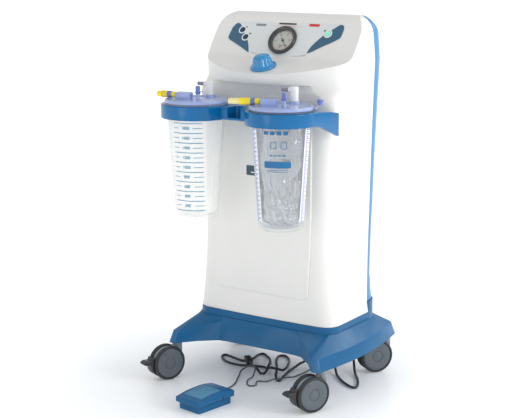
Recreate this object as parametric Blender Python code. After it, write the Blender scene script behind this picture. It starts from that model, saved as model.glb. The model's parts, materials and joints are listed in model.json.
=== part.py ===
"""Two-jar hospital suction pump on castors, built as separate solids.

Metres, +Z up. The front faces -Y and +X is to the right seen from the front.
Everything is laid out round the middle of the base, then moved so that the origin
is on the floor under the middle of the whole assembly with its foot switch.
"""

import math

import bmesh
import bpy
from mathutils import Matrix, Vector

# ---- Driving dimensions --------------------------------------------------------------
ORIGIN = (-0.0133, -0.0647, 0)   # middle of the whole assembly, from the middle of the base
GAP = 0.0003                 # clearance between pieces that rest on each other
WALL = 0.0035                # moulded wall of the covers
FIT = 0.0002                 # clearance of a turning fit

# body
FOOT_Z = 0.161               # lower edge of the front cover
TOP_Z = 0.844                # top of the uncut front cover
CREST_TOP_Z = 0.8415         # top of the hood behind its crest, and of the rear cover
REAR_FOOT_Z = 0.186          # parting line between the base's upstand and the rear cover
WAIST_Z = 0.370
HALF_FOOT = 0.184            # half-widths of the body at foot, waist and hood
HALF_WAIST = 0.168
HALF_HOOD = 0.190
SHOULDER_Z = 0.799
SHOULDER_R = 0.045
FRONT_Y = -0.095
FRONT_CORNER = 0.040
REAR_CORNER = 0.055
SEAM_Y = 0.102               # rearmost reach of the side seam
SEAM_Z = 0.420
REAR_Y = 0.156

# hood and console
LIP_Y = -0.121
LIP_Z = 0.717
BAND_Z = 0.694               # underside of the hood
BAND_RING_Z = 0.6962         # the band is almost upright above this height
HOOD_LOW_Z = 0.672           # where the body starts to swell into the hood
HOOD_SPREAD = 0.019          # the body widens this much from waist to lip
LIP_RING_Z = 0.724           # clear of the shelf, whose edge is at LIP_Z
HOOD_CURVE = 2.17            # y = LIP_Y + HOOD_CURVE * x^2 is the lip seen from above
POCKET_Z = 0.640
POCKET_Y = -0.088
PANEL_LOW = (-0.030, 0.747)  # console panel in side view (y, z)
PANEL_HIGH = (0.022, 0.821)

# base
BASE_Z = 0.088
BACK_Y = 0.137               # back of the body at its foot
SKIRT_Y = 0.146              # back of the base between the rear legs
CREST_Z = 0.116              # top edge of the base's flanks
LEDGE_Z = 0.145              # foot of the collar round the body
COLLAR_Z = FOOT_Z - GAP
BASE_WALL = 0.006
COLLAR_OUT = 0.0025          # the collar stands this much outside the cover

# castors
WHEEL_R = 0.040
WHEEL_W = 0.0125
WEB_W = 0.0104
TRAIL = 0.029
STEM_R = 0.011
AXLE_R = 0.004
STEMS = {
    "front_left": (-0.196, -0.153),
    "front_right": (0.196, -0.153),
    "rear_right": (0.188, 0.157),
    "rear_left": (-0.188, 0.157),
}
# direction each castor's axle points, as the angle of its outer end from the front, towards +X
FACING = {"front_left": 68, "front_right": 64, "rear_right": 54, "rear_left": 40}
BRAKED = ("front_left", "front_right")
BRAKE_PIN = (TRAIL + 0.0435, WHEEL_R + 0.018)

# jars
JAR_X = 0.111
JAR_Y = -0.186
JAR_BOTTOM_Z = 0.399
RING_LOW_Z = 0.622
RING_TOP_Z = 0.652
RING_R = 0.077
RING_BORE = 0.067
LID_TOP_Z = 0.662

# foot switch
SWITCH_X = -0.026
SWITCH_Y = -0.278
SWITCH_TURN = math.radians(-9.5)

ROUND_STEPS = 24


# ---- Materials -----------------------------------------------------------------------
def finish(name, colour, roughness, metallic=0.0, alpha=1.0):
    """A Principled BSDF material."""
    material = bpy.data.materials.new(name)
    material.use_nodes = True
    shader = material.node_tree.nodes["Principled BSDF"]
    shader.inputs["Base Color"].default_value = (*colour, 1.0)
    shader.inputs["Roughness"].default_value = roughness
    shader.inputs["Metallic"].default_value = metallic
    shader.inputs["Alpha"].default_value = alpha
    material.diffuse_color = (*colour, alpha)
    return material


def make_finishes():
    return {
        "white": finish("white_cover", (0.86, 0.86, 0.84), 0.35),
        "blue": finish("blue_moulding", (0.02, 0.20, 0.42), 0.35),
        "gloss_blue": finish("gloss_blue", (0.01, 0.22, 0.45), 0.15),
        "overlay": finish("overlay_grey", (0.78, 0.80, 0.82), 0.4),
        "navy": finish("navy_button", (0.02, 0.05, 0.12), 0.4),
        "green": finish("green_button", (0.35, 0.75, 0.60), 0.3),
        "dark": finish("dark_plastic", (0.04, 0.04, 0.045), 0.5),
        "grey": finish("wheel_grey", (0.20, 0.22, 0.24), 0.45),
        "rubber": finish("tyre_rubber", (0.03, 0.03, 0.032), 0.7),
        "steel": finish("steel", (0.6, 0.6, 0.62), 0.3, 1.0),
        "aluminium": finish("aluminium", (0.7, 0.7, 0.72), 0.4, 1.0),
        "dial": finish("dial_face", (0.85, 0.84, 0.80), 0.5),
        "clear": finish("clear_plastic", (0.85, 0.90, 0.95), 0.08, 0.0, 0.3),
        "film": finish("liner_film", (0.85, 0.88, 0.92), 0.2, 0.0, 0.4),
        "lid": finish("periwinkle_lid", (0.25, 0.30, 0.68), 0.3),
        "yellow": finish("yellow_connector", (0.90, 0.72, 0.02), 0.35),
        "ivory": finish("white_elbow", (0.85, 0.86, 0.86), 0.3),
        "board": finish("circuit_board", (0.02, 0.22, 0.08), 0.5),
        "cord": finish("cord_grey", (0.06, 0.06, 0.07), 0.5),
    }


# ---- Mesh helpers --------------------------------------------------------------------
def add_object(name, bm, material, place=None, parent=None):
    """Turns a bmesh into a named object, with its origin at the place matrix."""
    bmesh.ops.recalc_face_normals(bm, faces=bm.faces)
    mesh = bpy.data.meshes.new(name)
    bm.to_mesh(mesh)
    bm.free()
    mesh.shade_smooth()
    mesh.set_sharp_from_angle(angle=math.radians(35))
    mesh.materials.append(material)
    return link_object(name, mesh, place, parent)


def link_object(name, data, place=None, parent=None):
    obj = bpy.data.objects.new(name, data)
    bpy.context.scene.collection.objects.link(obj)
    obj.parent = parent
    obj.matrix_local = place if place is not None else Matrix.Identity(4)
    return obj


def boolean(target, other, operation="DIFFERENCE"):
    """Cuts or joins another object, which is then only a guide."""
    modifier = target.modifiers.new(other.name, "BOOLEAN")
    modifier.operation = operation
    modifier.solver = "EXACT"
    modifier.object = other
    other.hide_render = True
    other.display_type = "WIRE"


def loft(rings):
    """A closed solid through rings of points, all with the same count."""
    bm = bmesh.new()
    rows = [[bm.verts.new(point) for point in ring] for ring in rings]
    count = len(rings[0])
    for low, high in zip(rows, rows[1:]):
        for i in range(count):
            j = (i + 1) % count
            bm.faces.new((low[i], low[j], high[j], high[i]))
    bm.faces.new(rows[0])
    bm.faces.new(rows[-1])
    return bm


def prism(outline, start, end, axis="z"):
    """An outline extruded along an axis. Its points are (x, y), (x, z) or (y, z)."""
    def lift(point, depth):
        if axis == "z":
            return (point[0], point[1], depth)
        if axis == "y":
            return (point[0], depth, point[1])
        return (depth, point[0], point[1])

    return loft([[lift(p, start) for p in outline], [lift(p, end) for p in outline]])


def box(low, high):
    (x0, y0, z0), (x1, y1, z1) = low, high
    return prism([(x0, y0), (x1, y0), (x1, y1), (x0, y1)], z0, z1)


def rounded_box(size_x, size_y, low_z, high_z, corner, bevel=0.0):
    """A block with rounded upright edges and, if asked, a bevelled top edge."""
    outline = []
    for quadrant in range(4):
        sx = (1, -1, -1, 1)[quadrant]
        sy = (1, 1, -1, -1)[quadrant]
        centre = Vector((sx * (size_x / 2 - corner), sy * (size_y / 2 - corner)))
        for step in range(4):
            angle = math.radians(90 * quadrant + 30 * step)
            outline.append((centre.x + corner * math.cos(angle), centre.y + corner * math.sin(angle)))
    bm = prism(outline, low_z, high_z)
    if bevel:
        top = [e for e in bm.edges if all(abs(v.co.z - high_z) < 1e-7 for v in e.verts)]
        bmesh.ops.bevel(bm, geom=top, offset=bevel, segments=2, affect="EDGES", profile=0.5)
    return bm


def lathe(profile, steps=ROUND_STEPS, closed=False):
    """Spins an (r, z) profile round Z. Open profiles start and end on the axis."""
    bm = bmesh.new()
    verts = [bm.verts.new((r, 0.0, z)) for r, z in profile]
    edges = [bm.edges.new(pair) for pair in zip(verts, verts[1:])]
    if closed:
        edges.append(bm.edges.new((verts[-1], verts[0])))
    bmesh.ops.spin(
        bm, geom=verts + edges, cent=(0, 0, 0), axis=(0, 0, 1), angle=2 * math.pi, steps=steps, use_merge=True
    )
    bmesh.ops.remove_doubles(bm, verts=bm.verts, dist=1e-6)
    return bm


def cylinder(radius, low, high, steps=ROUND_STEPS):
    return lathe([(0, low), (radius, low), (radius, high), (0, high)], steps)


def tube(points, radius, sides=8):
    """A round cord along a line of points, with closed ends."""
    points = [Vector(p) for p in points]
    rings = []
    side = None
    for i, point in enumerate(points):
        ahead = points[min(i + 1, len(points) - 1)] - points[max(i - 1, 0)]
        tangent = ahead.normalized()
        if side is None:
            side = tangent.orthogonal().normalized()
        side = (side - tangent * side.dot(tangent)).normalized()
        up = tangent.cross(side)
        rings.append([
            point + radius * (math.cos(a) * side + math.sin(a) * up)
            for a in (2 * math.pi * k / sides for k in range(sides))
        ])
    return loft(rings)


def smooth_path(knots, per_span=6):
    """A Catmull-Rom curve through the knots."""
    knots = [Vector(k) for k in knots]
    padded = [2 * knots[0] - knots[1], *knots, 2 * knots[-1] - knots[-2]]
    path = []
    for a, b, c, d in zip(padded, padded[1:], padded[2:], padded[3:]):
        for step in range(per_span):
            t = step / per_span
            path.append(0.5 * (2 * b + (c - a) * t + (2 * a - 5 * b + 4 * c - d) * t ** 2
                               + (3 * b - a - 3 * c + d) * t ** 3))
    path.append(knots[-1])
    return path


def frame_matrix(origin, z_axis, x_axis):
    """A placement whose Z and X run along the given directions."""
    z = Vector(z_axis).normalized()
    x = Vector(x_axis)
    x = (x - z * x.dot(z)).normalized()
    y = z.cross(x)
    rotation = Matrix((x, y, z)).transposed().to_4x4()
    return Matrix.Translation(origin) @ rotation


def fuse(name, material, bodies, place=None, parent=None):
    """One object made from several overlapping bodies, by Boolean unions."""
    first = add_object(name, bodies[0], material, place, parent)
    for number, body in enumerate(bodies[1:]):
        guide = add_object(f"{name}_join_{number}", body, material, place, parent)
        boolean(first, guide, "UNION")
    return first


def cut(target, name, bm, place=None, parent=None):
    """Removes a body from an object."""
    guide = add_object(name, bm, target.data.materials[0], place, parent)
    boolean(target, guide)
    return guide


# ---- Body shape ----------------------------------------------------------------------
def half_width(z):
    """Half-width of the covers: waisted, widest in the hood, with rounded shoulders."""
    if z < WAIST_Z:
        share = (WAIST_Z - z) / (WAIST_Z - FOOT_Z)
        return HALF_WAIST + (HALF_FOOT - HALF_WAIST) * share ** 2
    share = (z - WAIST_Z) / (LIP_Z - WAIST_Z)
    width = min(HALF_WAIST + HOOD_SPREAD * share ** 2, HALF_HOOD)
    if z > SHOULDER_Z:
        rise = min(z - SHOULDER_Z, SHOULDER_R)
        width -= SHOULDER_R - math.sqrt(SHOULDER_R ** 2 - rise ** 2)
    return width


def seam(z):
    """Y of the joint between the front and rear covers."""
    z = max(z, REAR_FOOT_Z)
    bend = 0.48 if z < SEAM_Z else 0.24
    return SEAM_Y - bend * (z - SEAM_Z) ** 2


def bow(x, front, sag, half):
    """Y of a front edge that bows back by sag at x = half."""
    return front + sag * (x / half) ** 2


def cover_outline(half, front, sag, corner, back, arc=5, across=8):
    """Plan of the front cover: straight back, rounded front corners, bowed front."""
    points = [(-half, back)]
    inner = half - corner
    edge = bow(inner, front, sag, half)
    tip = bow(half, front, sag, half)
    right = []
    for step in range(arc + 1):
        t = step / arc
        x = (1 - t) ** 2 * inner + 2 * t * (1 - t) * half + t ** 2 * half
        y = (1 - t) ** 2 * edge + 2 * t * (1 - t) * tip + t ** 2 * (tip + corner)
        right.append((x, y))
    points += [(-x, y) for x, y in reversed(right)]
    for step in range(1, across):
        x = inner * (2 * step / across - 1)
        points.append((x, bow(x, front, sag, half)))
    points += right
    points.append((half, back))
    return points


def cover_levels(last_z):
    """Heights of the rings that both covers share, so that they meet along one seam."""
    levels = [0.200, 0.231, 0.243, 0.310, 0.370, 0.450, 0.530, 0.610, HOOD_LOW_Z, BAND_RING_Z, LIP_RING_Z,
              0.750, 0.785]
    return levels + [SHOULDER_Z + (last_z - SHOULDER_Z) * share for share in (0, 0.38, 0.68, 0.90, 1)]


def cover_rings(inset, first_z, last_z, back_past):
    """Rings of the front cover, moved in by inset; the back edge may run past the seam."""
    rings = []
    for z in [first_z, REAR_FOOT_Z, *cover_levels(last_z)]:
        half = half_width(z + (inset if z > SHOULDER_Z else 0)) - inset
        body = cover_outline(half, FRONT_Y + inset, 0.004, FRONT_CORNER - inset, seam(z) + back_past)
        lip_sag = HOOD_CURVE * half ** 2
        hood = cover_outline(half, LIP_Y + inset, lip_sag, 0.030 - inset / 2, seam(z) + back_past)
        blend = {HOOD_LOW_Z: 0.0, BAND_RING_Z: 0.80}.get(z, 0.0 if z < HOOD_LOW_Z else 1.0)
        rings.append([
            (a[0] + (b[0] - a[0]) * blend, a[1] + (b[1] - a[1]) * blend, z) for a, b in zip(body, hood)
        ])
    return rings


def console_cutter(shift=(0.0, 0.0)):
    """Everything in front of and above the shelf, the panel and the crest, in side view."""
    slope = (PANEL_LOW[1] - LIP_Z) / (PANEL_LOW[0] - LIP_Y)
    profile = [
        (-0.200, LIP_Z - slope * (0.200 + LIP_Y)),
        PANEL_LOW,
        PANEL_HIGH,
        (0.034, 0.8335),
        (0.048, 0.8395),
        (0.080, CREST_TOP_Z),
        (0.080, 0.900),
        (-0.200, 0.900),
    ]
    return prism([(y + shift[0], z + shift[1]) for y, z in profile], -0.25, 0.25, "x")


def pocket(grow=0.0):
    """The recess under the hood, wider at the top."""
    top = BAND_Z + grow
    low = POCKET_Z - grow
    outline = [(-0.132 - grow, low), (0.132 + grow, low), (0.158 + grow, top), (-0.158 - grow, top)]
    return prism(outline, -0.20, POCKET_Y + grow, "y")


def shield():
    """Outline of the raised front panel in (x, z)."""
    right = [(0.104, 0.218), (0.117, 0.223), (0.123, 0.240), (0.126, 0.290), (0.131, 0.370), (0.131, 0.610)]
    left = [(-x, z) for x, z in reversed(right)]
    return right + left


def panel_frame(x, z, out=0.0):
    """A placement on the console panel: local Z points out of it, local X to the right."""
    along = Vector((0, PANEL_HIGH[0] - PANEL_LOW[0], PANEL_HIGH[1] - PANEL_LOW[1])).normalized()
    normal = Vector((1, 0, 0)).cross(along)
    share = (z - PANEL_LOW[1]) / along.z
    origin = Vector((x, PANEL_LOW[0] + share * along.y, z)) + out * normal
    return frame_matrix(origin, normal, (1, 0, 0))


def shelf_frame(x, y, out=0.0):
    """A placement on the shelf in front of the panel."""
    along = Vector((0, PANEL_LOW[0] - LIP_Y, PANEL_LOW[1] - LIP_Z)).normalized()
    normal = Vector((1, 0, 0)).cross(along)
    origin = Vector((x, y, LIP_Z + (y - LIP_Y) * along.z / along.y)) + out * normal
    return frame_matrix(origin, normal, (1, 0, 0))


GAUGE_AT = (0.0, 0.781)
BUTTONS = {
    "power_button": (0.110, 0.799, "green"),
    "range_button_upper": (-0.117, 0.800, "navy"),
    "range_button_lower": (-0.102, 0.785, "navy"),
}
GAUGE_R = 0.033
BUTTON_R = 0.0065
KNOB_AT = (0.0, -0.086)
SPINDLE_R = 0.003


def build_front_cover(finishes):
    cover = add_object("front_cover", loft(cover_rings(0.0, FOOT_Z, TOP_Z, 0.0)), finishes["white"])
    panel = prism(shield(), FRONT_Y - 0.0030, FRONT_Y + 0.012, "y")
    boolean(cover, add_object("shield_join", panel, finishes["white"]), "UNION")
    cut(cover, "console_cut", console_cutter())
    cut(cover, "pocket_cut", pocket())
    cavity = add_object("cover_cavity", loft(cover_rings(WALL, FOOT_Z - 0.01, TOP_Z - WALL, 0.01)), finishes["white"])
    cut(cavity, "console_inner", console_cutter((0.0022, -0.0030)))
    cut(cavity, "pocket_inner", pocket(WALL))
    boolean(cover, cavity)
    cut(cover, "gauge_hole", cylinder(GAUGE_R + GAP, -0.012, 0.010), panel_frame(*GAUGE_AT))
    for name, (x, z, _) in BUTTONS.items():
        cut(cover, f"{name}_hole", cylinder(BUTTON_R + GAP, -0.010, 0.010, 16), panel_frame(x, z))
    cut(cover, "spindle_hole", cylinder(SPINDLE_R + GAP, -0.010, 0.010, 12), shelf_frame(*KNOB_AT))


def rear_outline(half, back, corner, front, arc=5, across=4):
    """Plan of the rear cover: rounded rear corners, open towards the front."""
    points = [(half, front)]
    inner = half - corner
    low = max(back - corner, front)
    right = []
    for step in range(arc + 1):
        t = math.pi / 2 * step / arc
        right.append((inner + corner * math.cos(t), low + (back - low) * math.sin(t)))
    points += right
    for step in range(1, across):
        points.append((inner * (1 - 2 * step / across), back))
    points += [(-x, y) for x, y in reversed(right)]
    points.append((-half, front))
    return points


def rear_y(z):
    """Y of the back of the rear cover: foot hump, leaning back, rounded over at the top."""
    bend = 0.38 if z < 0.5 else 0.29
    back = REAR_Y - bend * (z - 0.5) ** 2
    if z < 0.232:
        back = BACK_Y
    if z > 0.790:
        share = min((z - 0.790) / (TOP_Z - 0.790), 1.0)
        back = seam(z) + 0.004 + (rear_y(0.790) - seam(z) - 0.004) * math.sqrt(1 - share ** 2)
    return back


def rear_rings(inset, first_z, last_z, front_past):
    rings = []
    for z in [first_z, *cover_levels(last_z)]:
        half = half_width(z + (inset if z > SHOULDER_Z else 0)) - inset
        back = rear_y(z + (inset if z > 0.790 else 0)) - inset
        outline = rear_outline(half, back, REAR_CORNER - inset, seam(z) + GAP + front_past)
        rings.append([(x, y, z) for x, y in outline])
    return rings


def build_rear_cover(finishes):
    cover = add_object("rear_cover", loft(rear_rings(0.0, REAR_FOOT_Z + GAP, CREST_TOP_Z, 0.0)), finishes["blue"])
    cut(cover, "rear_cavity", loft(rear_rings(WALL, REAR_FOOT_Z - 0.01, CREST_TOP_Z - WALL, -0.01)))
    slot = rounded_box(0.006, 0.012, 0, 0.060, 0.002)
    for number in range(9):
        place = Matrix.Translation((0.018 * (number - 4), REAR_Y - 0.03, 0.300))
        cut(cover, f"vent_{number}", slot.copy(), place)
    slot.free()


# ---- Base ----------------------------------------------------------------------------
def quarter_mirror(quarter):
    """Completes an outline given from the middle of the front to the middle of the side."""
    front = quarter + [(x, -y) for x, y in reversed(quarter[:-1])]
    return front + [(-x, y) for x, y in reversed(front[1:-1])]


def base_outline(inset=0.0):
    """Plan of the base's lower edge: four splayed legs with a deep recess in front, a shallow one behind."""
    tip = 0.014
    quarter = [
        (0.0, -0.1005 + inset),
        (0.050, -0.1005 + inset),
        (0.092, -0.1010 + inset),
        (0.112 - inset, -0.104 + inset),
        (0.150 - inset, -0.136 + inset),
    ]
    for step in range(5):
        angle = math.radians(-130 + 31 * step)
        reach = tip - inset / 2
        quarter.append((0.192 - inset / 2 + reach * math.cos(angle), -0.166 + inset / 2 + reach * math.sin(angle)))
    quarter += [(0.214 - inset, -0.120), (0.221 - inset, -0.070), (0.2235 - inset, -0.020)]
    quarter.append((0.224 - inset, 0.0))
    outline = quarter_mirror(quarter)
    return [(x, max(y, SKIRT_Y - inset) if y > 0 and abs(x) < 0.16 else y) for x, y in outline]


def crest_height(x, y):
    """Height of the top edge of the base's flanks: high at the skirts, low at the legs."""
    skirt = 0.137
    reach = min(max((abs(x) - 0.104) / (0.190 - 0.104), 0.0), 1.0)
    if abs(y) < 0.099:
        reach = 1.0
    return skirt + (CREST_Z - skirt) * reach


def body_plan(out):
    """Half-width, front and back of the body's foot, moved out."""
    return HALF_FOOT + out, FRONT_Y - 0.001 - out, BACK_Y + out


def ledge_ring(points, out, z):
    """Moves the base's points onto the rectangle round the body's foot."""
    half, front, back = body_plan(out)
    ring = []
    for x, y in points:
        limit = -front if y < 0 else back
        corner = out + (FRONT_CORNER if y < 0 else REAR_CORNER)
        px = min(abs(x) * 0.93, half)
        py = min(abs(y), limit)
        over_x = px - (half - corner)
        over_y = py - (limit - corner)
        if over_x > 0 and over_y > 0:
            size = math.hypot(over_x, over_y)
            px = half - corner + over_x * corner / size
            py = limit - corner + over_y * corner / size
        ring.append((math.copysign(px, x) if x else 0.0, math.copysign(py, y) if y else 0.0, z))
    return ring


def base_rings(inset, low):
    outline = base_outline(inset)
    crest = [
        (x * 0.955, y * (0.985 if abs(y) < 0.11 else 0.975), crest_height(x, y) - inset)
        for x, y in outline
    ]
    return [
        [(x, y, low) for x, y in outline],
        crest,
        ledge_ring(outline, COLLAR_OUT - inset, LEDGE_Z - inset),
    ]


def foot_outline(out, arc=5):
    """Rounded rectangle round the foot of the body."""
    half, front, back = body_plan(out)
    points = []
    for quadrant in range(4):
        sx = (1, -1, -1, 1)[quadrant]
        at_back = quadrant < 2
        radius = out + (REAR_CORNER if at_back else FRONT_CORNER)
        centre_x = sx * (half - radius)
        centre_y = back - radius if at_back else front + radius
        for step in range(arc + 1):
            t = math.pi / 2 * (quadrant + step / arc)
            points.append((centre_x + radius * math.cos(t), centre_y + radius * math.sin(t)))
    return points


def build_base(finishes):
    base = add_object("trolley_base", loft(base_rings(0.0, BASE_Z)), finishes["blue"])
    collar = add_object("collar_join", prism(foot_outline(0.0), LEDGE_Z - 0.008, REAR_FOOT_Z), finishes["blue"])
    cut(collar, "collar_step", box((-0.3, -0.3, COLLAR_Z), (0.3, seam(REAR_FOOT_Z) + GAP, 0.3)))
    boolean(base, collar, "UNION")
    cut(base, "collar_pocket", prism(foot_outline(-0.005), LEDGE_Z, 0.250))
    under = add_object("base_hollow", loft(base_rings(BASE_WALL, BASE_Z - 0.01)), finishes["blue"])
    for number, (x, y) in enumerate(STEMS.values()):
        boss = cylinder(0.018, BASE_Z - 0.02, 0.2)
        cut(under, f"stem_boss_{number}", boss, Matrix.Translation((x, y, 0)))
    boolean(base, under)
    for number, (x, y) in enumerate(STEMS.values()):
        socket = cylinder(0.0045, BASE_Z - 0.005, BASE_Z + 0.0125, 12)
        cut(base, f"stem_socket_{number}", socket, Matrix.Translation((x, y, 0)))


def build_chassis(finishes):
    top = LEDGE_Z + GAP
    plate = prism(foot_outline(-0.008), top, top + 0.003)
    chassis = add_object("chassis_plate", plate, finishes["steel"])
    cut(chassis, "hose_slot", cylinder(0.02, 0.1, 0.2, 16), Matrix.Translation((-0.12, 0.06, 0)))


# ---- Castors -------------------------------------------------------------------------
def web_outline():
    """Side view of the housing between the wheels: neck, mudguard arc, axle boss."""
    guard = 0.0365
    points = [(-0.0100, 0.083), (-0.0100, 0.060), (0.006, 0.040)]
    for degrees in (-130, -90, -50):
        angle = math.radians(degrees)
        points.append((TRAIL + 0.013 * math.cos(angle), WHEEL_R + 0.013 * math.sin(angle)))
    for degrees in range(-8, 113, 15):
        angle = math.radians(degrees)
        points.append((TRAIL + guard * math.cos(angle), WHEEL_R + guard * math.sin(angle)))
    points.append((0.010, 0.083))
    return points


def build_castor(name, finishes):
    """A twin-wheel castor: local X trails behind the stem, local Y is the axle."""
    facing = math.radians(FACING[name])
    trail = Vector((-math.cos(facing), -math.sin(facing), 0))
    x, y = STEMS[name]
    root = link_object(f"castor_{name}", None, frame_matrix((x, y, 0), (0, 0, 1), trail))
    to_axle = Matrix.Translation((TRAIL, 0, WHEEL_R)) @ Matrix.Rotation(math.radians(-90), 4, "X")

    stem_top = BASE_Z + 0.010
    bodies = [
        prism(web_outline(), -WEB_W / 2, WEB_W / 2, "y"),
        lathe([(0, 0.0775), (STEM_R, 0.0775), (STEM_R, BASE_Z - GAP), (0.004, BASE_Z - GAP),
               (0.004, stem_top), (0, stem_top)], 14),
    ]
    housing = fuse(f"castor_housing_{name}", finishes["grey"], bodies, parent=root)
    cut(housing, f"axle_bore_{name}", cylinder(AXLE_R + GAP, -0.02, 0.02, 12), to_axle, root)

    reach = WEB_W / 2 + 0.0085
    add_object(f"castor_axle_{name}", cylinder(AXLE_R, -reach, reach, 12), finishes["steel"], to_axle, root)

    bore = AXLE_R + FIT
    inner = WEB_W / 2 + GAP
    outer = inner + WHEEL_W
    profile = [
        (0, outer - 0.0015), (0.0330, outer - 0.0015), (0.0345, outer), (0.0375, outer),
        (WHEEL_R, outer - 0.003), (WHEEL_R, inner + 0.002), (0.0385, inner), (bore, inner),
        (bore, WEB_W / 2 + 0.0092), (0, WEB_W / 2 + 0.0092),
    ]
    wheel = lathe(profile, 18)
    add_object(f"wheel_outer_{name}", wheel, finishes["rubber"], to_axle, root)
    mesh = bpy.data.objects[f"wheel_outer_{name}"].data
    turned = to_axle @ Matrix.Rotation(math.pi, 4, "X")
    link_object(f"wheel_inner_{name}", mesh, turned, root)

    if name in BRAKED:
        build_brake(name, finishes, root)


def build_brake(name, finishes, root):
    """Brake pedal: a curved shoe behind the tyres with a tongue for the toe."""
    px, pz = BRAKE_PIN

    def at(radius, degrees):
        angle = math.radians(degrees)
        return (TRAIL + radius * math.cos(angle) - px, WHEEL_R + radius * math.sin(angle) - pz)

    outline = [at(0.0415, a) for a in (-28, -14, 0, 12, 24)]
    outline += [at(0.0470, 24), at(0.0480, 14), at(0.0640, 11), at(0.0660, 6), at(0.0630, 2), at(0.0480, 2)]
    outline += [at(0.0475, -14), at(0.0450, -28)]
    place = Matrix.Translation((px, 0, pz))
    add_object(f"brake_pedal_{name}", prism(outline, -0.011, 0.011, "y"), finishes["dark"], place, root)


# ---- Console pieces ------------------------------------------------------------------
def overlay_outline():
    """Outline of the console overlay in the panel's plane, (x, up the panel)."""
    points = [(-0.142, 0.042), (-0.122, 0.084), (-0.112, 0.089), (0.130, 0.089), (0.141, 0.082),
              (0.139, 0.070), (0.077, 0.011)]
    for step in range(1, 8):
        x = 0.077 - 0.156 * step / 8
        points.append((x, 0.0025 + 0.0075 * (x / 0.077) ** 2))
    points += [(-0.079, 0.010), (-0.126, 0.028)]
    return points


def build_console(finishes):
    corner = panel_frame(0, PANEL_LOW[1])
    overlay = add_object("fascia_overlay", prism(overlay_outline(), GAP, 0.0011), finishes["overlay"], corner)
    cut(overlay, "overlay_gauge", cylinder(GAUGE_R + 0.0004, -0.01, 0.01), panel_frame(*GAUGE_AT))
    for name, (x, z, colour) in BUTTONS.items():
        place = panel_frame(x, z)
        cut(overlay, f"overlay_{name}", cylinder(BUTTON_R + GAP, -0.01, 0.01, 16), place)
        cap = lathe([(0, -0.0030), (BUTTON_R, -0.0030), (BUTTON_R, 0.0018), (BUTTON_R - 0.0012, 0.0026),
                     (0, 0.0028)], 16)
        add_object(name, cap, finishes[colour], place)
    board = [
        prism([(-0.130, 0.035), (-0.130, 0.086), (0.128, 0.086), (0.128, 0.035)], -0.0085, -0.0070),
        prism([(-0.12, 0.045), (-0.12, 0.07), (-0.09, 0.07), (-0.09, 0.045)], -0.0072, -0.0050),
        prism([(0.10, 0.05), (0.10, 0.072), (0.12, 0.072), (0.12, 0.05)], -0.0072, -0.0050),
    ]
    control = fuse("control_board", finishes["board"], board, corner)
    cut(control, "board_gauge", cylinder(GAUGE_R + 0.004, -0.02, 0.01), panel_frame(*GAUGE_AT))


def build_gauge(finishes):
    place = panel_frame(*GAUGE_AT)
    case = [
        (0, -0.0240), (GAUGE_R, -0.0240), (GAUGE_R, 0.0015), (0.0350, 0.0015), (0.0350, 0.0065),
        (0.0335, 0.0080), (0.0305, 0.0080), (0.0300, 0.0060), (0.0300, -0.0010), (0, -0.0010),
    ]
    add_object("gauge_case", lathe(case, 22), finishes["dark"], place)
    dial = [(0.0020, -0.0010 + GAP), (0.0297, -0.0010 + GAP), (0.0297, 0.0002), (0.0020, 0.0002)]
    add_object("gauge_dial", lathe(dial, 22, closed=True), finishes["dial"], place)
    needle = [
        cylinder(0.0028, 0.0010, 0.0026, 16),
        cylinder(0.0014, -0.0010 + GAP, 0.0020, 12),
        prism([(-0.0009, -0.008), (0.0009, -0.008), (0.0004, 0.023), (-0.0004, 0.023)], 0.0012, 0.0020),
    ]
    turned = place @ Matrix.Rotation(math.radians(-142), 4, "Z")
    fuse("gauge_needle", finishes["dark"], needle, turned)
    lens = [(0, 0.0045), (0.0297, 0.0045), (0.0297, 0.0058), (0, 0.0066)]
    add_object("gauge_lens", lathe(lens, 22), finishes["clear"], place)


def build_regulator(finishes):
    place = shelf_frame(*KNOB_AT)
    valve = lathe([(0, -0.0260), (0.0130, -0.0260), (0.0130, -0.0040 - GAP), (SPINDLE_R + FIT, -0.0040 - GAP),
                   (SPINDLE_R + FIT, -0.0180), (0, -0.0180)])
    add_object("regulator_body", valve, finishes["aluminium"], place)
    spindle = cylinder(SPINDLE_R, -0.0175, 0.0180, 16)
    add_object("regulator_spindle", spindle, finishes["steel"], place)
    add_object("regulator_knob", knob_shape(), finishes["gloss_blue"], place)


def knob_shape():
    """Fluted bell with a round flange; the spindle reaches up into it."""
    steps = 27
    bore = SPINDLE_R + 0.0001
    profile = [(0.0285, 0.0012), (0.0285, 0.0040), (0.0225, 0.0080), (0.0200, 0.0160), (0.0175, 0.0240),
               (0.0115, 0.0290)]
    rings = []
    inner = [(bore, 0.0182), (bore, 0.0012)]
    for r, z in inner + profile:
        ring = []
        for k in range(steps):
            angle = 2 * math.pi * k / steps
            flute = 0.0009 * (1 if k % 3 else -1) if 0.006 < z < 0.028 and r > bore else 0.0
            ring.append(((r + flute) * math.cos(angle), (r + flute) * math.sin(angle), z))
        rings.append(ring)
    return loft(rings)


# ---- Jars and bracket ----------------------------------------------------------------
def jar_radius(z):
    """Outer radius of the jar's tapered wall."""
    share = (z - JAR_BOTTOM_Z) / (RING_LOW_Z - JAR_BOTTOM_Z)
    return 0.048 + 0.015 * share


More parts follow.
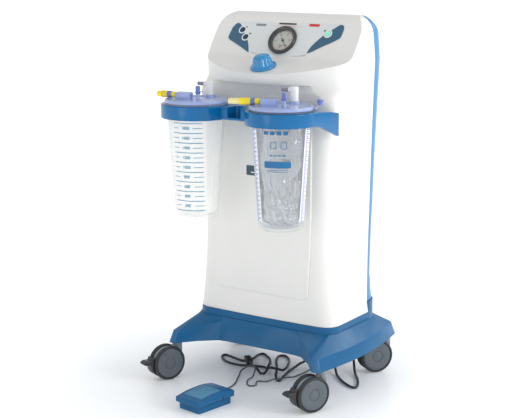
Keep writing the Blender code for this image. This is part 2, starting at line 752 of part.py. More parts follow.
def jar_profile():
    wall = 0.0025
    bottom = JAR_BOTTOM_Z
    outer = [(0, bottom + 0.002), (0.030, bottom + 0.002), (0.034, bottom), (0.042, bottom),
             (0.0465, bottom + 0.003), (jar_radius(bottom + 0.010), bottom + 0.010)]
    outer += [(0.0640, RING_LOW_Z + 0.01), (0.0650, RING_TOP_Z + GAP), (0.0710, RING_TOP_Z + GAP)]
    outer += [(0.0710, 0.6547), (0.0640, 0.6547), (0.0640, 0.6560), (0.0613, 0.6560)]
    inner = [(0.0640 - wall, RING_LOW_Z + 0.01), (jar_radius(bottom + 0.012) - wall, bottom + 0.012),
             (0.040, bottom + 0.006), (0, bottom + 0.006)]
    return outer + inner


def liner_profile():
    """Bag hung under the lid: a thin film, open at the top."""
    film = 0.0008
    low = JAR_BOTTOM_Z + 0.012
    outer = [(0, low), (0.034, low), (0.0425, low + 0.008), (0.0500, 0.520), (0.0575, 0.6450), (0.0575, 0.6457)]
    inner = [(0.0575 - film, 0.6457), (0.0575 - film, 0.6450), (0.0500 - film, 0.520),
             (0.0425 - film, low + 0.008), (0.034, low + film), (0, low + film)]
    return outer + inner


ELBOW_AT = (0.0, 0.052)       # places on the lid, from the jar's axis
POST_AT = (0.013, -0.010)
DRUM_AT = (-0.022, -0.013)
CONNECTOR_TURN = {"left": math.radians(188), "right": math.radians(202)}
CONNECTOR_Z = 0.6698
CONNECTOR_LENGTH = {"left": 0.046, "right": 0.068}
ELBOW_Z = 0.689


def lid_bodies(turn):
    ridge = [(0, 0.6575), (0.0570, 0.6575), (0.0570, 0.6460), (0.0608, 0.6460), (0.0608, 0.6565),
             (0.0645, 0.6565), (0.0645, 0.6551), (0.0675, 0.6551), (0.0675, 0.6608), (0.0665, LID_TOP_Z),
             (0.0605, LID_TOP_Z), (0.0595, 0.6600), (0, 0.6600)]
    drum = rounded_box(0.038, 0.024, 0.6590, 0.6755, 0.008, 0.002)
    spin = Matrix.Translation((*DRUM_AT, 0)) @ Matrix.Rotation(turn, 4, "Z")
    bmesh.ops.transform(drum, matrix=spin, verts=drum.verts)
    post = cylinder(0.0045, 0.6590, 0.6740, 12)
    bmesh.ops.translate(post, vec=(*POST_AT, 0), verts=post.verts)
    socket = cylinder(0.0115, 0.6590, 0.6650, 18)
    bmesh.ops.translate(socket, vec=(*ELBOW_AT, 0), verts=socket.verts)
    return [lathe(ridge, 20), drum, post, socket]


def connector_profile(length):
    """Stepped tube for the patient hose, from the drum outwards."""
    bore = 0.0030
    outer = [(0.0062, 0.0), (0.0062, 0.010), (0.0072, 0.011), (0.0072, 0.016), (0.0062, 0.017),
             (0.0060, length * 0.66), (0.0050, length * 0.70), (0.0046, length)]
    return outer + [(bore, length), (bore, 0.0)]


def build_jar_set(side, finishes):
    sign = -1 if side == "left" else 1
    axis = Matrix.Translation((sign * JAR_X, JAR_Y, 0))
    turn = CONNECTOR_TURN[side]
    add_object(f"jar_{side}", lathe(jar_profile(), 20), finishes["clear"], axis)
    add_object(f"liner_{side}", lathe(liner_profile(), 14), finishes["film"], axis)
    fuse(f"lid_{side}", finishes["lid"], lid_bodies(turn), axis)

    start = 0.019 + GAP
    away = Vector((math.cos(turn), math.sin(turn), 0))
    root = Vector((sign * JAR_X + DRUM_AT[0], JAR_Y + DRUM_AT[1], CONNECTOR_Z)) + start * away
    connector = lathe(connector_profile(CONNECTOR_LENGTH[side]), 14, closed=True)
    add_object(f"patient_connector_{side}", connector, finishes["yellow"], frame_matrix(root, away, (0, 0, 1)))

    cap = lathe([(0, 0.6740 + GAP), (0.0058, 0.6740 + GAP), (0.0058, 0.6780), (0.0050, 0.6785), (0.0050, 0.6900),
                 (0.0042, 0.6910), (0, 0.6910)], 16)
    add_object(f"port_cap_{side}", cap, finishes["lid"], axis @ Matrix.Translation((*POST_AT, 0)))

    top = ELBOW_Z + 0.0075
    leg = lathe([(0, 0.6650 + GAP), (0.0090, 0.6650 + GAP), (0.0090, top - 0.003), (0.0075, top), (0, top)], 20)
    arm = cylinder(0.0060, 0.0, 0.0130, 16)
    sideways = Matrix.Translation((0, 0, ELBOW_Z)) @ Matrix.Rotation(math.radians(-90), 4, "Y")
    bmesh.ops.transform(arm, matrix=sideways, verts=arm.verts)
    at_elbow = axis @ Matrix.Translation((*ELBOW_AT, 0))
    fuse(f"vacuum_elbow_{side}", finishes["ivory"], [leg, arm], at_elbow)

    barb = [(0.0022, 0.0133), (0.0045, 0.0133), (0.0045, 0.0180), (0.0036, 0.0182), (0.0045, 0.0225),
            (0.0036, 0.0227), (0.0040, 0.0310), (0.0022, 0.0310)]
    add_object(f"hose_barb_{side}", lathe(barb, 16, closed=True), finishes["dark"], at_elbow @ sideways)


def build_spare_cap(finishes):
    """Tethered cap hanging at the rim of the right lid."""
    tilt = Matrix.Rotation(math.radians(14), 4, "Y")
    place = Matrix.Translation((JAR_X + 0.071, JAR_Y + 0.034, 0.6640)) @ tilt
    profile = [(0, 0.0), (0.0028, 0.0), (0.0028, 0.003), (0.0068, 0.004), (0.0068, 0.0120), (0.0060, 0.0130),
               (0, 0.0130)]
    add_object("spare_cap_right", lathe(profile, 16), finishes["lid"], place)


def build_bracket(finishes):
    bodies = [cylinder(RING_R, RING_LOW_Z, RING_TOP_Z, 32)]
    shift = Matrix.Translation((-JAR_X, JAR_Y, 0))
    bmesh.ops.transform(bodies[0], matrix=shift, verts=bodies[0].verts)
    second = cylinder(RING_R, RING_LOW_Z, RING_TOP_Z, 32)
    bmesh.ops.transform(second, matrix=Matrix.Translation((JAR_X, JAR_Y, 0)), verts=second.verts)
    bodies.append(second)
    bodies.append(box((-0.045, -0.200, RING_LOW_Z + 0.0012), (0.045, FRONT_Y - 0.0033, RING_TOP_Z - 0.0013)))
    for sign in (-1, 1):
        bodies.append(arm_body(sign))
    bracket = fuse("jar_bracket", finishes["gloss_blue"], bodies)
    for sign in (-1, 1):
        bore = cylinder(RING_BORE, 0.6, 0.7, 32)
        cut(bracket, f"jar_bore_{sign}", bore, Matrix.Translation((sign * JAR_X, JAR_Y, 0)))


def arm_body(sign):
    """Side arm: level with the ring in front, deeper where it meets the body."""
    def section(y, inner, outer, low, high):
        return [(sign * inner, y, low), (sign * outer, y, low), (sign * outer, y, high), (sign * inner, y, high)]

    return loft([
        section(-0.188, 0.1790, 0.1878, RING_LOW_Z + 0.0006, RING_TOP_Z - 0.0007),
        section(-0.150, 0.1795, 0.1895, RING_LOW_Z - 0.005, RING_TOP_Z - 0.0030),
        section(-0.115, 0.1800, 0.1905, RING_LOW_Z - 0.018, RING_TOP_Z - 0.0060),
        section(-0.080, 0.1800, 0.1900, 0.590, 0.640),
    ])


# ---- Inside --------------------------------------------------------------------------
def build_pump(finishes):
    floor = LEDGE_Z + 0.003 + 2 * GAP
    along_x = Matrix.Translation((0, 0.015, floor + 0.052)) @ Matrix.Rotation(math.radians(90), 4, "Y")
    motor = lathe([(0, -0.075), (0.042, -0.075), (0.045, -0.070), (0.045, 0.070), (0.042, 0.075), (0, 0.075)], 28)
    bmesh.ops.transform(motor, matrix=along_x, verts=motor.verts)
    feet = box((-0.060, -0.030, floor), (0.060, 0.060, floor + 0.020))
    necks = box((-0.066, -0.010, floor + 0.060), (0.066, 0.040, floor + 0.110))
    fuse("pump_body", finishes["aluminium"], [motor, feet, necks])
    for name, x in (("pump_head_left", -0.040), ("pump_head_right", 0.040)):
        head = rounded_box(0.050, 0.064, floor + 0.110 + GAP, floor + 0.145, 0.008, 0.003)
        add_object(name, head, finishes["aluminium"], Matrix.Translation((x, 0.015, 0)))
    build_fan(finishes, Matrix.Translation((0.0755 + GAP, 0.015, floor + 0.052)))


def build_fan(finishes, place):
    """Cooling fan on the end of the motor's shaft; local X is its axis."""
    turn = Matrix.Rotation(math.radians(90), 4, "Y")
    hub = cylinder(0.012, 0.0, 0.016, 18)
    plate = cylinder(0.034, 0.0, 0.002, 18)
    blades = []
    for number in range(6):
        blade = box((0.009, -0.001, 0.0010), (0.036, 0.001, 0.014))
        bmesh.ops.transform(blade, matrix=Matrix.Rotation(math.radians(60 * number + 5), 4, "Z"), verts=blade.verts)
        blades.append(blade)
    fuse("cooling_fan", finishes["dark"], [hub, plate, *blades], place @ turn)


def build_hose(finishes):
    """Vacuum hose from the left cylinder head up to the regulator."""
    knots = [(-0.040, 0.015, 0.2950), (-0.040, 0.015, 0.330), (-0.070, 0.030, 0.420), (-0.060, 0.010, 0.550),
             (-0.030, -0.030, 0.640), (-0.006, -0.060, 0.676), (0.0, -0.0700, 0.6960)]
    add_object("main_hose", tube(smooth_path(knots, 4), 0.006, 8), finishes["cord"])


# ---- Foot switch and cords -----------------------------------------------------------
def build_footswitch(finishes):
    place = Matrix.Translation((SWITCH_X, SWITCH_Y, 0)) @ Matrix.Rotation(SWITCH_TURN, 4, "Z")
    pin_y, pin_z = 0.020, 0.0205
    bodies = [rounded_box(0.064, 0.100, 0.0, 0.0140, 0.005, 0.001)]
    for sign in (-1, 1):
        lug = box((sign * 0.024 - 0.003, pin_y - 0.006, 0.010), (sign * 0.024 + 0.003, pin_y + 0.006, 0.0245))
        bodies.append(lug)
    base = fuse("footswitch_base", finishes["blue"], bodies, place)
    pin_place = place @ Matrix.Translation((0, pin_y, pin_z)) @ Matrix.Rotation(math.radians(90), 4, "Y")
    cut(base, "base_pin_hole", cylinder(0.0025 + GAP, -0.05, 0.05, 12), pin_place)
    add_object("footswitch_pin", cylinder(0.0025, -0.0352, 0.0352, 12), finishes["steel"], pin_place)
    pedal = build_pedal(finishes, place, pin_y, pin_z)
    cut(pedal, "pedal_pin_hole", cylinder(0.0025 + GAP, -0.05, 0.05, 12), pin_place)


def build_pedal(finishes, place, pin_y, pin_z):
    """Hollow tread plate; its origin is on the pin's axis."""
    def section(inset, low, drop):
        half_x, half_y = 0.036 - inset, 0.056 - inset
        top = [(-half_y, 0.0275), (-0.020, 0.0330), (0.022, 0.0345), (half_y, 0.0300)]
        outline = [(-half_y, low), *[(y, z - drop) for y, z in top], (half_y, low)]
        return prism([(y - pin_y, z - pin_z) for y, z in outline], -half_x, half_x, "x")

    origin = place @ Matrix.Translation((0, pin_y, pin_z))
    shell = section(0.0, 0.0155, 0.0)
    upright = [e for e in shell.edges if abs(e.verts[0].co.z - e.verts[1].co.z) > 0.008]
    bmesh.ops.bevel(shell, geom=upright, offset=0.003, segments=2, affect="EDGES", profile=0.5)
    pedal = add_object("footswitch_pedal", shell, finishes["blue"], origin)
    cut(pedal, "pedal_hollow", section(0.0022, 0.0100, 0.0022), origin)
    return pedal


def lay_down(path, radius, under=(), spacing=0.006):
    """Lays a path on the floor and lifts it over the strands it crosses.

    Returns (point, distance along the path, radius) for each point.
    """
    laid = []
    along = 0.0
    for i, point in enumerate(path):
        along += (point - path[i - 1]).length if i else 0.0
        height = max(point.z, radius + 0.0002)
        crossed = [entry for entry in laid if along - entry[1] > 0.045] + list(under)
        for other, _, girth in crossed:
            apart = math.hypot(point.x - other.x, point.y - other.y)
            beside = max(apart - girth - radius - spacing, 0.0)
            height = max(height, min(other.z, 0.03) + girth + radius + 0.0004 - 0.5 * beside)
        laid.append((Vector((point.x, point.y, height)), along, radius))
    return laid


def power_knots():
    """From the rear of the base to the floor, clear of the right castor, then loops under the base."""
    drop = [(0.070, 0.1405, 0.168), (0.070, 0.170, 0.160), (0.072, 0.197, 0.100), (0.082, 0.202, 0.025)]
    right = [
        (0.101, 0.199), (0.109, 0.186), (0.109, 0.160), (0.107, 0.136), (0.104, 0.111), (0.097, 0.078),
        (0.139, 0.027), (0.183, -0.004), (0.198, 0.000), (0.179, 0.040), (0.146, 0.084), (0.112, 0.128),
        (0.070, 0.128),
    ]
    middle = [
        (0.018, 0.080), (0.008, 0.033), (0.017, -0.019), (0.027, -0.060), (0.008, -0.045), (-0.025, 0.011),
        (-0.058, 0.060), (-0.070, 0.092), (-0.056, 0.100), (-0.030, 0.074), (-0.004, 0.025), (0.004, -0.008),
        (-0.024, -0.008), (-0.057, 0.001), (-0.086, -0.007), (-0.116, -0.019), (-0.153, -0.014),
        (-0.183, 0.008), (-0.186, 0.028), (-0.156, 0.020), (-0.122, 0.014), (-0.113, 0.040), (-0.118, 0.070),
        (-0.110, 0.085), (-0.078, 0.058), (-0.046, 0.014), (-0.026, -0.032), (-0.037, -0.048),
        (-0.072, -0.020), (-0.098, 0.004),
    ]
    return drop + [(x, y, 0.0032) for x, y in right + middle]


def switch_knots():
    """From the foot switch along the floor, with one small loop, and up into the base."""
    floor = [
        (-0.045, -0.190), (-0.046, -0.140), (-0.070, -0.085), (-0.080, -0.056), (-0.066, -0.043),
        (-0.045, -0.052), (-0.034, -0.080), (-0.033, -0.104), (-0.015, -0.124), (-0.003, -0.115),
        (-0.012, -0.092), (0.006, -0.078), (0.030, -0.060), (0.040, -0.020), (0.045, 0.030),
    ]
    rise = [(0.052, 0.066, 0.014), (0.054, 0.080, 0.060), (0.054, 0.084, 0.109)]
    return [(-0.0365, -0.2210, 0.0080)] + [(x, y, 0.0022) for x, y in floor] + rise


def build_cords(finishes):
    lead = lay_down(smooth_path(power_knots(), 3), 0.0030)
    path = [entry[0] for entry in lead]
    plug = rounded_box(0.034, 0.016, -0.007, 0.007, 0.005, 0.002)
    away = path[-1] - path[-2]
    end = path[-1] + 0.016 * away.normalized()
    place = frame_matrix((end.x, end.y, 0.0074), (0, 0, 1), (away.x, away.y, 0))
    bmesh.ops.transform(plug, matrix=place, verts=plug.verts)
    fuse("power_cord", finishes["cord"], [tube(path, 0.0030, 5), plug])

    switch = lay_down(smooth_path(switch_knots(), 3), 0.0018, lead)
    add_object("footswitch_cord", tube([entry[0] for entry in switch], 0.0018, 5), finishes["cord"])


# ---- Build ---------------------------------------------------------------------------
def clear_scene():
    for obj in list(bpy.data.objects):
        bpy.data.objects.remove(obj)


def move_to_origin():
    """Puts the origin on the floor under the middle of everything."""
    for obj in bpy.context.scene.objects:
        if obj.parent is None:
            obj.location -= Vector(ORIGIN)


def main():
    clear_scene()
    finishes = make_finishes()
    build_base(finishes)
    build_chassis(finishes)
    build_front_cover(finishes)
    build_rear_cover(finishes)
    build_console(finishes)
    build_gauge(finishes)
    build_regulator(finishes)
    build_bracket(finishes)
    for side in ("left", "right"):
        build_jar_set(side, finishes)
    build_spare_cap(finishes)
    for name in STEMS:
        build_castor(name, finishes)
    build_pump(finishes)
    build_hose(finishes)
    build_footswitch(finishes)
    build_cords(finishes)
    move_to_origin()


main()
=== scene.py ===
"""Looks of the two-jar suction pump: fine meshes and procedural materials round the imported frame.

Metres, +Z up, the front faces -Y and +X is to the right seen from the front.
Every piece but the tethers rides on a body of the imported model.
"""

import json
import math

import bmesh
import bpy
from mathutils import Matrix, Vector, noise


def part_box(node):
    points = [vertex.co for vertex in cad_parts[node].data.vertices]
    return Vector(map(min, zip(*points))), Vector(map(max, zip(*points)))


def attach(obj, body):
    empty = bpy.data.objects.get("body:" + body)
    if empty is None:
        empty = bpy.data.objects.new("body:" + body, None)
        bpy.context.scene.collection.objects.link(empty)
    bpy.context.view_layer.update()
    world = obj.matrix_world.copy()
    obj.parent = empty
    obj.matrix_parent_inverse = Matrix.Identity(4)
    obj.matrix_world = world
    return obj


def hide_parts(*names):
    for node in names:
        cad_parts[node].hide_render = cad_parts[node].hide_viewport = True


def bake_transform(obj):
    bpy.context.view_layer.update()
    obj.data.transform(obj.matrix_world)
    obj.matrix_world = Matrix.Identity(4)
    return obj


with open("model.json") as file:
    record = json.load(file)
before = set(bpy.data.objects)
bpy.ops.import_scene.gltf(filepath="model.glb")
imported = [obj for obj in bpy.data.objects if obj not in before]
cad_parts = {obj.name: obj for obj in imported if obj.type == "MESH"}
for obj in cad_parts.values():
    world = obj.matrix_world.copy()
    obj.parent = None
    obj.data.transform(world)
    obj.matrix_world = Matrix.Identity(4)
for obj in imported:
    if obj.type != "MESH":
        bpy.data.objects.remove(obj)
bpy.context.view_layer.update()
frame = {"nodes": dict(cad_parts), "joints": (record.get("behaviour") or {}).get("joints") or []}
JOINTS = {joint["name"]: joint for joint in frame["joints"]}
STEM_X, STEM_Y = -0.196, -0.153     # front left castor, from the middle of the base
FIRST_STEM = Vector(JOINTS["castor_front_left_swivel"]["pos_m"])
SHIFT = Vector((FIRST_STEM.x - STEM_X, FIRST_STEM.y - STEM_Y, 0))
TO_FRAME = Matrix.Translation(SHIFT)
ROOT = "trolley"
SIDES = {"left": -1, "right": 1}
CORNERS = ("front_left", "front_right", "rear_right", "rear_left")



def joint_place(name):
    """A joint's position, from the middle of the base."""
    return Vector(JOINTS[name]["pos_m"]) - SHIFT


def node_centre(name):
    low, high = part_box(name)
    return (low + high) / 2 - SHIFT


# ---- Driving dimensions --------------------------------------------------------------
GAP = 0.0003

# body
FOOT_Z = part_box("front_cover")[0].z
TOP_Z = 0.844
CREST_TOP_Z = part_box("rear_cover")[1].z
REAR_FOOT_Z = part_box("rear_cover")[0].z - GAP
WAIST_Z = 0.370
HALF_FOOT = 0.184
HALF_WAIST = 0.168
HALF_HOOD = 0.190
SHOULDER_Z = 0.799
SHOULDER_R = 0.045
FRONT_Y = -0.095
FRONT_CORNER = 0.040
REAR_CORNER = 0.055
SEAM_Y = 0.102
SEAM_Z = 0.420
REAR_Y = 0.156
BACK_Y = 0.137
SHIELD_OUT = 0.0030

# hood and console
LIP_Y = -0.121
LIP_Z = 0.717
BAND_Z = 0.694
HOOD_START_Z = 0.662
HOOD_FULL_Z = 0.704
HOOD_CURVE = 2.17
POCKET_Z = 0.640
POCKET_Y = -0.088
PANEL_LOW = (-0.030, 0.747)
PANEL_HIGH = (0.022, 0.821)
OVERLAY_TOP = 0.0011

# base
BASE_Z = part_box("trolley_base")[0].z
CREST_Z = 0.116
SKIRT_CREST_Z = 0.137
LEDGE_Z = 0.145
COLLAR_Z = FOOT_Z - GAP
SKIRT_Y = 0.146
BASE_WALL = 0.006
COLLAR_OUT = 0.0025

# castors
WHEEL_R = 0.040
WHEEL_W = 0.0125
WEB_W = 0.0104
TRAIL = 0.029
STEM_R = 0.011

# jars
JAR_Y = -0.186
JAR_X = 0.111
JAR_BOTTOM_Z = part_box("jar_left")[0].z
RING_LOW_Z = 0.622
RING_TOP_Z = 0.652
RING_R = 0.077
RING_BORE = 0.067
LID_TOP_Z = 0.662
ELBOW_AT = (0.0, 0.052)
POST_AT = (0.013, -0.010)
DRUM_AT = (-0.022, -0.013)
CONNECTOR_TURN = {"left": math.radians(188), "right": math.radians(202)}
CONNECTOR_LENGTH = {"left": 0.046, "right": 0.068}
CONNECTOR_Z = 0.6698
ELBOW_Z = 0.689


# ---- Materials -----------------------------------------------------------------------
def hex_colour(code):
    """Linear RGBA from an sRGB hex code."""
    channels = [int(code[i:i + 2], 16) / 255 for i in (1, 3, 5)]
    return (*[c / 12.92 if c <= 0.04045 else ((c + 0.055) / 1.055) ** 2.4 for c in channels], 1.0)


def shader_node(tree, kind, settings=None, **inputs):
    """Adds a shader node. An input is a value or another node's output socket."""
    new = tree.nodes.new("ShaderNode" + kind)
    for key, value in (settings or {}).items():
        setattr(new, key, value)
    for key, value in inputs.items():
        socket = new.inputs[key.replace("_", " ")]
        if isinstance(value, bpy.types.NodeSocket):
            tree.links.new(value, socket)
        else:
            socket.default_value = value
    return new


def new_tree(name):
    material = bpy.data.materials.new(name)
    material.use_nodes = True
    tree = material.node_tree
    place = shader_node(tree, "TexCoord").outputs["Object"]
    return material, tree, place


def cloud(tree, place, size, low, high, detail=3.0):
    """A soft pattern with features of the given size, mapped between low and high."""
    pattern = shader_node(tree, "TexNoise", Vector=place, Scale=1 / size, Detail=detail)
    mapped = shader_node(tree, "MapRange", Value=pattern.outputs["Fac"], To_Min=low, To_Max=high)
    mapped.inputs["From Min"].default_value = 0.3
    mapped.inputs["From Max"].default_value = 0.7
    return mapped.outputs["Result"]


def plastic(name, colour, rough=0.35, edge=0.0010, grain=0.15, grain_size=0.0009, tone=0.03, spread=0.05,
            metallic=0.0, coat=0.0, wear=0.0, glow=0.0, specular=0.5):
    """Moulded or painted surface: rounded edges, fine grain, uneven tone and gloss, worn edges."""
    material, tree, place = new_tree(name)
    shader = tree.nodes["Principled BSDF"]
    value = cloud(tree, place, 0.09, 1 - tone, 1 + tone)
    tint = shader_node(tree, "HueSaturation", Value=value, Color=hex_colour(colour))
    base = tint.outputs["Color"]
    if wear:
        worn = shader_node(tree, "MapRange", Value=shader_node(tree, "NewGeometry").outputs["Pointiness"],
                           From_Min=0.53, From_Max=0.62, To_Max=wear)
        lighter = shader_node(tree, "HueSaturation", Value=1.5, Saturation=0.7, Color=base)
        mix = shader_node(tree, "MixRGB", Fac=worn.outputs["Result"], Color1=base,
                          Color2=lighter.outputs["Color"])
        base = mix.outputs["Color"]
    tree.links.new(base, shader.inputs["Base Color"])
    tree.links.new(cloud(tree, place, 0.035, rough - spread, rough + spread, 5.0), shader.inputs["Roughness"])
    round_edge = shader_node(tree, "Bevel", {"samples": 4}, Radius=edge)
    bump = shader_node(tree, "Bump", Strength=grain, Distance=0.0002, Normal=round_edge.outputs["Normal"],
                       Height=shader_node(tree, "TexNoise", Vector=place,
                                          Scale=1 / grain_size).outputs["Fac"])
    tree.links.new(bump.outputs["Normal"], shader.inputs["Normal"])
    shader.inputs["Metallic"].default_value = metallic
    shader.inputs["Specular IOR Level"].default_value = specular
    shader.inputs["Coat Weight"].default_value = coat
    shader.inputs["Coat Roughness"].default_value = 0.08
    if glow:
        shader.inputs["Emission Color"].default_value = hex_colour(colour)
        shader.inputs["Emission Strength"].default_value = glow
    return material


def clear_plastic(name, tint, haze, edge_haze, rough=0.06, wobble=0.1, wobble_size=0.02, edge_tone=0.85,
                  sheen=0.05, glow=0.0):
    """See-through plastic: milky by haze, more solid at grazing angles, with a gloss on its outside; glow adds painted
    light, an emission that makes the plastic shine though it is no lamp.
    """
    material, tree, place = new_tree(name)
    tree.nodes.remove(tree.nodes["Principled BSDF"])
    height = shader_node(tree, "TexNoise", Vector=place, Scale=1 / wobble_size, Detail=3.0)
    bump = shader_node(tree, "Bump", Strength=wobble, Distance=0.001, Height=height.outputs["Fac"])
    normal = bump.outputs["Normal"]
    facing = shader_node(tree, "LayerWeight", Blend=0.5, Normal=normal).outputs["Facing"]
    tone = shader_node(tree, "MapRange", Value=facing, From_Min=0.5, To_Min=1.0, To_Max=edge_tone)
    through = shader_node(tree, "HueSaturation", Value=tone.outputs["Result"], Color=hex_colour(tint))
    see = shader_node(tree, "BsdfTransparent", Color=through.outputs["Color"])
    milk = shader_node(tree, "BsdfDiffuse", Color=hex_colour(tint), Normal=normal)
    passing = shader_node(tree, "BsdfTranslucent", Color=hex_colour(tint), Normal=normal)
    # Painted glow: an emission in the tint, as if the milky plastic gave off light; it is no lamp.
    painted_glow = shader_node(tree, "Emission", Color=hex_colour(tint), Strength=glow)
    half = shader_node(tree, "MixShader", Fac=0.5)
    tree.links.new(milk.outputs["BSDF"], half.inputs[1])
    tree.links.new(passing.outputs["BSDF"], half.inputs[2])
    milk_and_painted_glow = shader_node(tree, "AddShader")
    tree.links.new(half.outputs["Shader"], milk_and_painted_glow.inputs[0])
    tree.links.new(painted_glow.outputs["Emission"], milk_and_painted_glow.inputs[1])
    curve = shader_node(tree, "Math", {"operation": "POWER"})
    tree.links.new(facing, curve.inputs[0])
    curve.inputs[1].default_value = 3.0
    uneven = cloud(tree, place, 0.03, 0.8, 1.2)
    amount = shader_node(tree, "MapRange", Value=curve.outputs["Value"], To_Min=haze, To_Max=edge_haze)
    body = shader_node(tree, "MixShader", Fac=amount.outputs["Result"])
    tree.links.new(see.outputs["BSDF"], body.inputs[1])
    tree.links.new(milk_and_painted_glow.outputs["Shader"], body.inputs[2])
    gloss = shader_node(tree, "BsdfGlossy", Normal=normal)
    spread = shader_node(tree, "MapRange", Value=uneven, From_Min=0.8, From_Max=1.2, To_Min=rough,
                         To_Max=rough * 2)
    tree.links.new(spread.outputs["Result"], gloss.inputs["Roughness"])
    steep = shader_node(tree, "Math", {"operation": "POWER"})
    tree.links.new(facing, steep.inputs[0])
    steep.inputs[1].default_value = 5.0
    shine = shader_node(tree, "MapRange", Value=steep.outputs["Value"], To_Min=sheen, To_Max=0.7)
    front = shader_node(tree, "NewGeometry").outputs["Backfacing"]
    outside = shader_node(tree, "MapRange", Value=front, To_Min=1.0, To_Max=0.1)
    share = shader_node(tree, "Math", {"operation": "MULTIPLY"})
    tree.links.new(shine.outputs["Result"], share.inputs[0])
    tree.links.new(outside.outputs["Result"], share.inputs[1])
    whole = shader_node(tree, "MixShader", Fac=share.outputs["Value"])
    tree.links.new(body.outputs["Shader"], whole.inputs[1])
    tree.links.new(gloss.outputs["BSDF"], whole.inputs[2])
    tree.links.new(whole.outputs["Shader"], tree.nodes["Material Output"].inputs["Surface"])
    return material


def make_materials():
    return {
        "white": plastic("white_shell", "#e9e8e4", 0.34, edge=0.0025, grain=0.10, tone=0.012, coat=0.15),
        "blue": plastic("blue_shell", "#175f8e", 0.36, edge=0.0015, grain=0.22, tone=0.03, wear=0.25,
                        specular=0.25),
        "rear_blue": plastic("rear_blue_shell", "#3f86bb", 0.36, edge=0.0015, grain=0.2, tone=0.03, wear=0.2),
        "bracket": plastic("bracket_blue", "#02669f", 0.16, edge=0.0015, grain=0.04, tone=0.03, coat=0.15,
                           specular=0.3),
        "overlay": plastic("overlay_film", "#dfe2e2", 0.42, edge=0.0003, grain=0.08, grain_size=0.0005),
        "flash": plastic("flash_print", "#38627c", 0.40, edge=0.0002, grain=0.08, grain_size=0.0005),
        "print_grey": plastic("grey_print", "#8b9296", 0.5, edge=0.0002, tone=0.02),
        "print_dark": plastic("dark_print", "#3c4146", 0.5, edge=0.0002, tone=0.02),
        "print_red": plastic("red_print", "#d8343c", 0.45, edge=0.0002, tone=0.02),
        "print_orange": plastic("orange_print", "#ee8a5a", 0.45, edge=0.0002, tone=0.02),
        "print_blue": plastic("jar_print_cyan", "#1583a3", 0.45, edge=0.0001, tone=0.05),
        "print_violet": plastic("jar_print_violet", "#3c4699", 0.45, edge=0.0001, tone=0.05),
        "print_deep": plastic("jar_print_blue", "#0f689c", 0.45, edge=0.0001, tone=0.05),
        "print_white": plastic("jar_print_white", "#f2f4fa", 0.45, edge=0.0001, tone=0.01),
        "label": plastic("label_plate", "#33525f", 0.3, edge=0.0004, grain=0.05, tone=0.04),
        "ring": plastic("button_ring", "#e8ecee", 0.3, edge=0.0004, grain=0.03, tone=0.01),
        "navy": plastic("navy_button", "#20374a", 0.28, edge=0.0006, grain=0.05, tone=0.05),
        "green": plastic("green_button", "#8fe0c2", 0.25, edge=0.0006, grain=0.03, tone=0.04, glow=0.25),
        "dark": plastic("black_plastic", "#2b2c2e", 0.36, edge=0.0008, grain=0.18, tone=0.06, wear=0.3),
        "bezel": plastic("bezel_black", "#333436", 0.26, edge=0.0008, grain=0.05, tone=0.05, coat=0.3),
        "dial": plastic("dial_paper", "#d9d6cc", 0.5, edge=0.0002, grain=0.06, tone=0.02),
        "knob": plastic("knob_blue", "#1d86c0", 0.2, edge=0.0010, grain=0.04, tone=0.04, coat=0.5),
        "disc": plastic("wheel_grey", "#596169", 0.40, edge=0.0006, grain=0.3, grain_size=0.0006, tone=0.05,
                        wear=0.2),
        "guard": plastic("guard_grey", "#7f8a90", 0.38, edge=0.0010, grain=0.2, tone=0.04),
        "rubber": plastic("tyre_rubber", "#303132", 0.6, edge=0.0010, grain=0.5, grain_size=0.0005, tone=0.10,
                          spread=0.12),
        "steel": plastic("zinc_steel", "#b9bcbe", 0.28, grain=0.1, tone=0.06, metallic=1.0, spread=0.1),
        "washer": plastic("washer_brass", "#a79b6a", 0.35, grain=0.1, tone=0.06, metallic=0.7),
        "aluminium": plastic("cast_aluminium", "#b3b5b8", 0.42, grain=0.6, grain_size=0.0012, tone=0.06,
                             metallic=1.0),
        "board": plastic("circuit_board", "#1e5a34", 0.45, grain=0.2, tone=0.10),
        "cord": plastic("cord_rubber", "#3a3a40", 0.5, grain=0.3, tone=0.10),
        "thin_cord": plastic("thin_cord_rubber", "#5b5f66", 0.5, grain=0.3, tone=0.10),
        "lid": plastic("periwinkle_lid", "#9fb0de", 0.26, edge=0.0010, grain=0.06, tone=0.04, coat=0.4),
        "lid_dark": plastic("periwinkle_fitting", "#6373bd", 0.28, edge=0.0008, grain=0.06, tone=0.04,
                            coat=0.3),
        "yellow": plastic("yellow_connector", "#f6dd12", 0.3, edge=0.0006, grain=0.05, tone=0.03, coat=0.2),
        "pale_yellow": plastic("soft_yellow_tip", "#eadf9e", 0.3, edge=0.0006, grain=0.05, tone=0.03,
                               coat=0.3),
        "elbow": plastic("white_fitting", "#f0f1ef", 0.3, edge=0.0010, grain=0.05, tone=0.015, coat=0.2),
        "pad": pad_rubber(),
        # The jars and the white liner get a painted glow (glow), an emission that brightens them though they are no
        # lamps.
        "jar_left": clear_plastic("jar_milky", "#fdfdfc", 0.12, 0.35, wobble=0.05, edge_tone=0.92, glow=0.12),
        "jar_right": clear_plastic("jar_clear", "#fafbfc", 0.03, 0.30, wobble=0.05, glow=0.1),
        "liner_left": clear_plastic("liner_white", "#ffffff", 0.55, 0.80, rough=0.3, wobble=0.3,
                                    edge_tone=0.9,
                                    glow=0.16),
        "liner_right": clear_plastic("liner_clear", "#f4f5f7", 0.10, 0.60, rough=0.10, wobble=0.6,
                                     wobble_size=0.006, edge_tone=0.5, sheen=0.22),
        "lens": clear_plastic("gauge_glass", "#fafbfb", 0.01, 0.15, wobble=0.0),
        "tether": plastic("tether_lilac", "#a9b2e0", 0.35, edge=0.0003, grain=0.05, tone=0.03),
    }


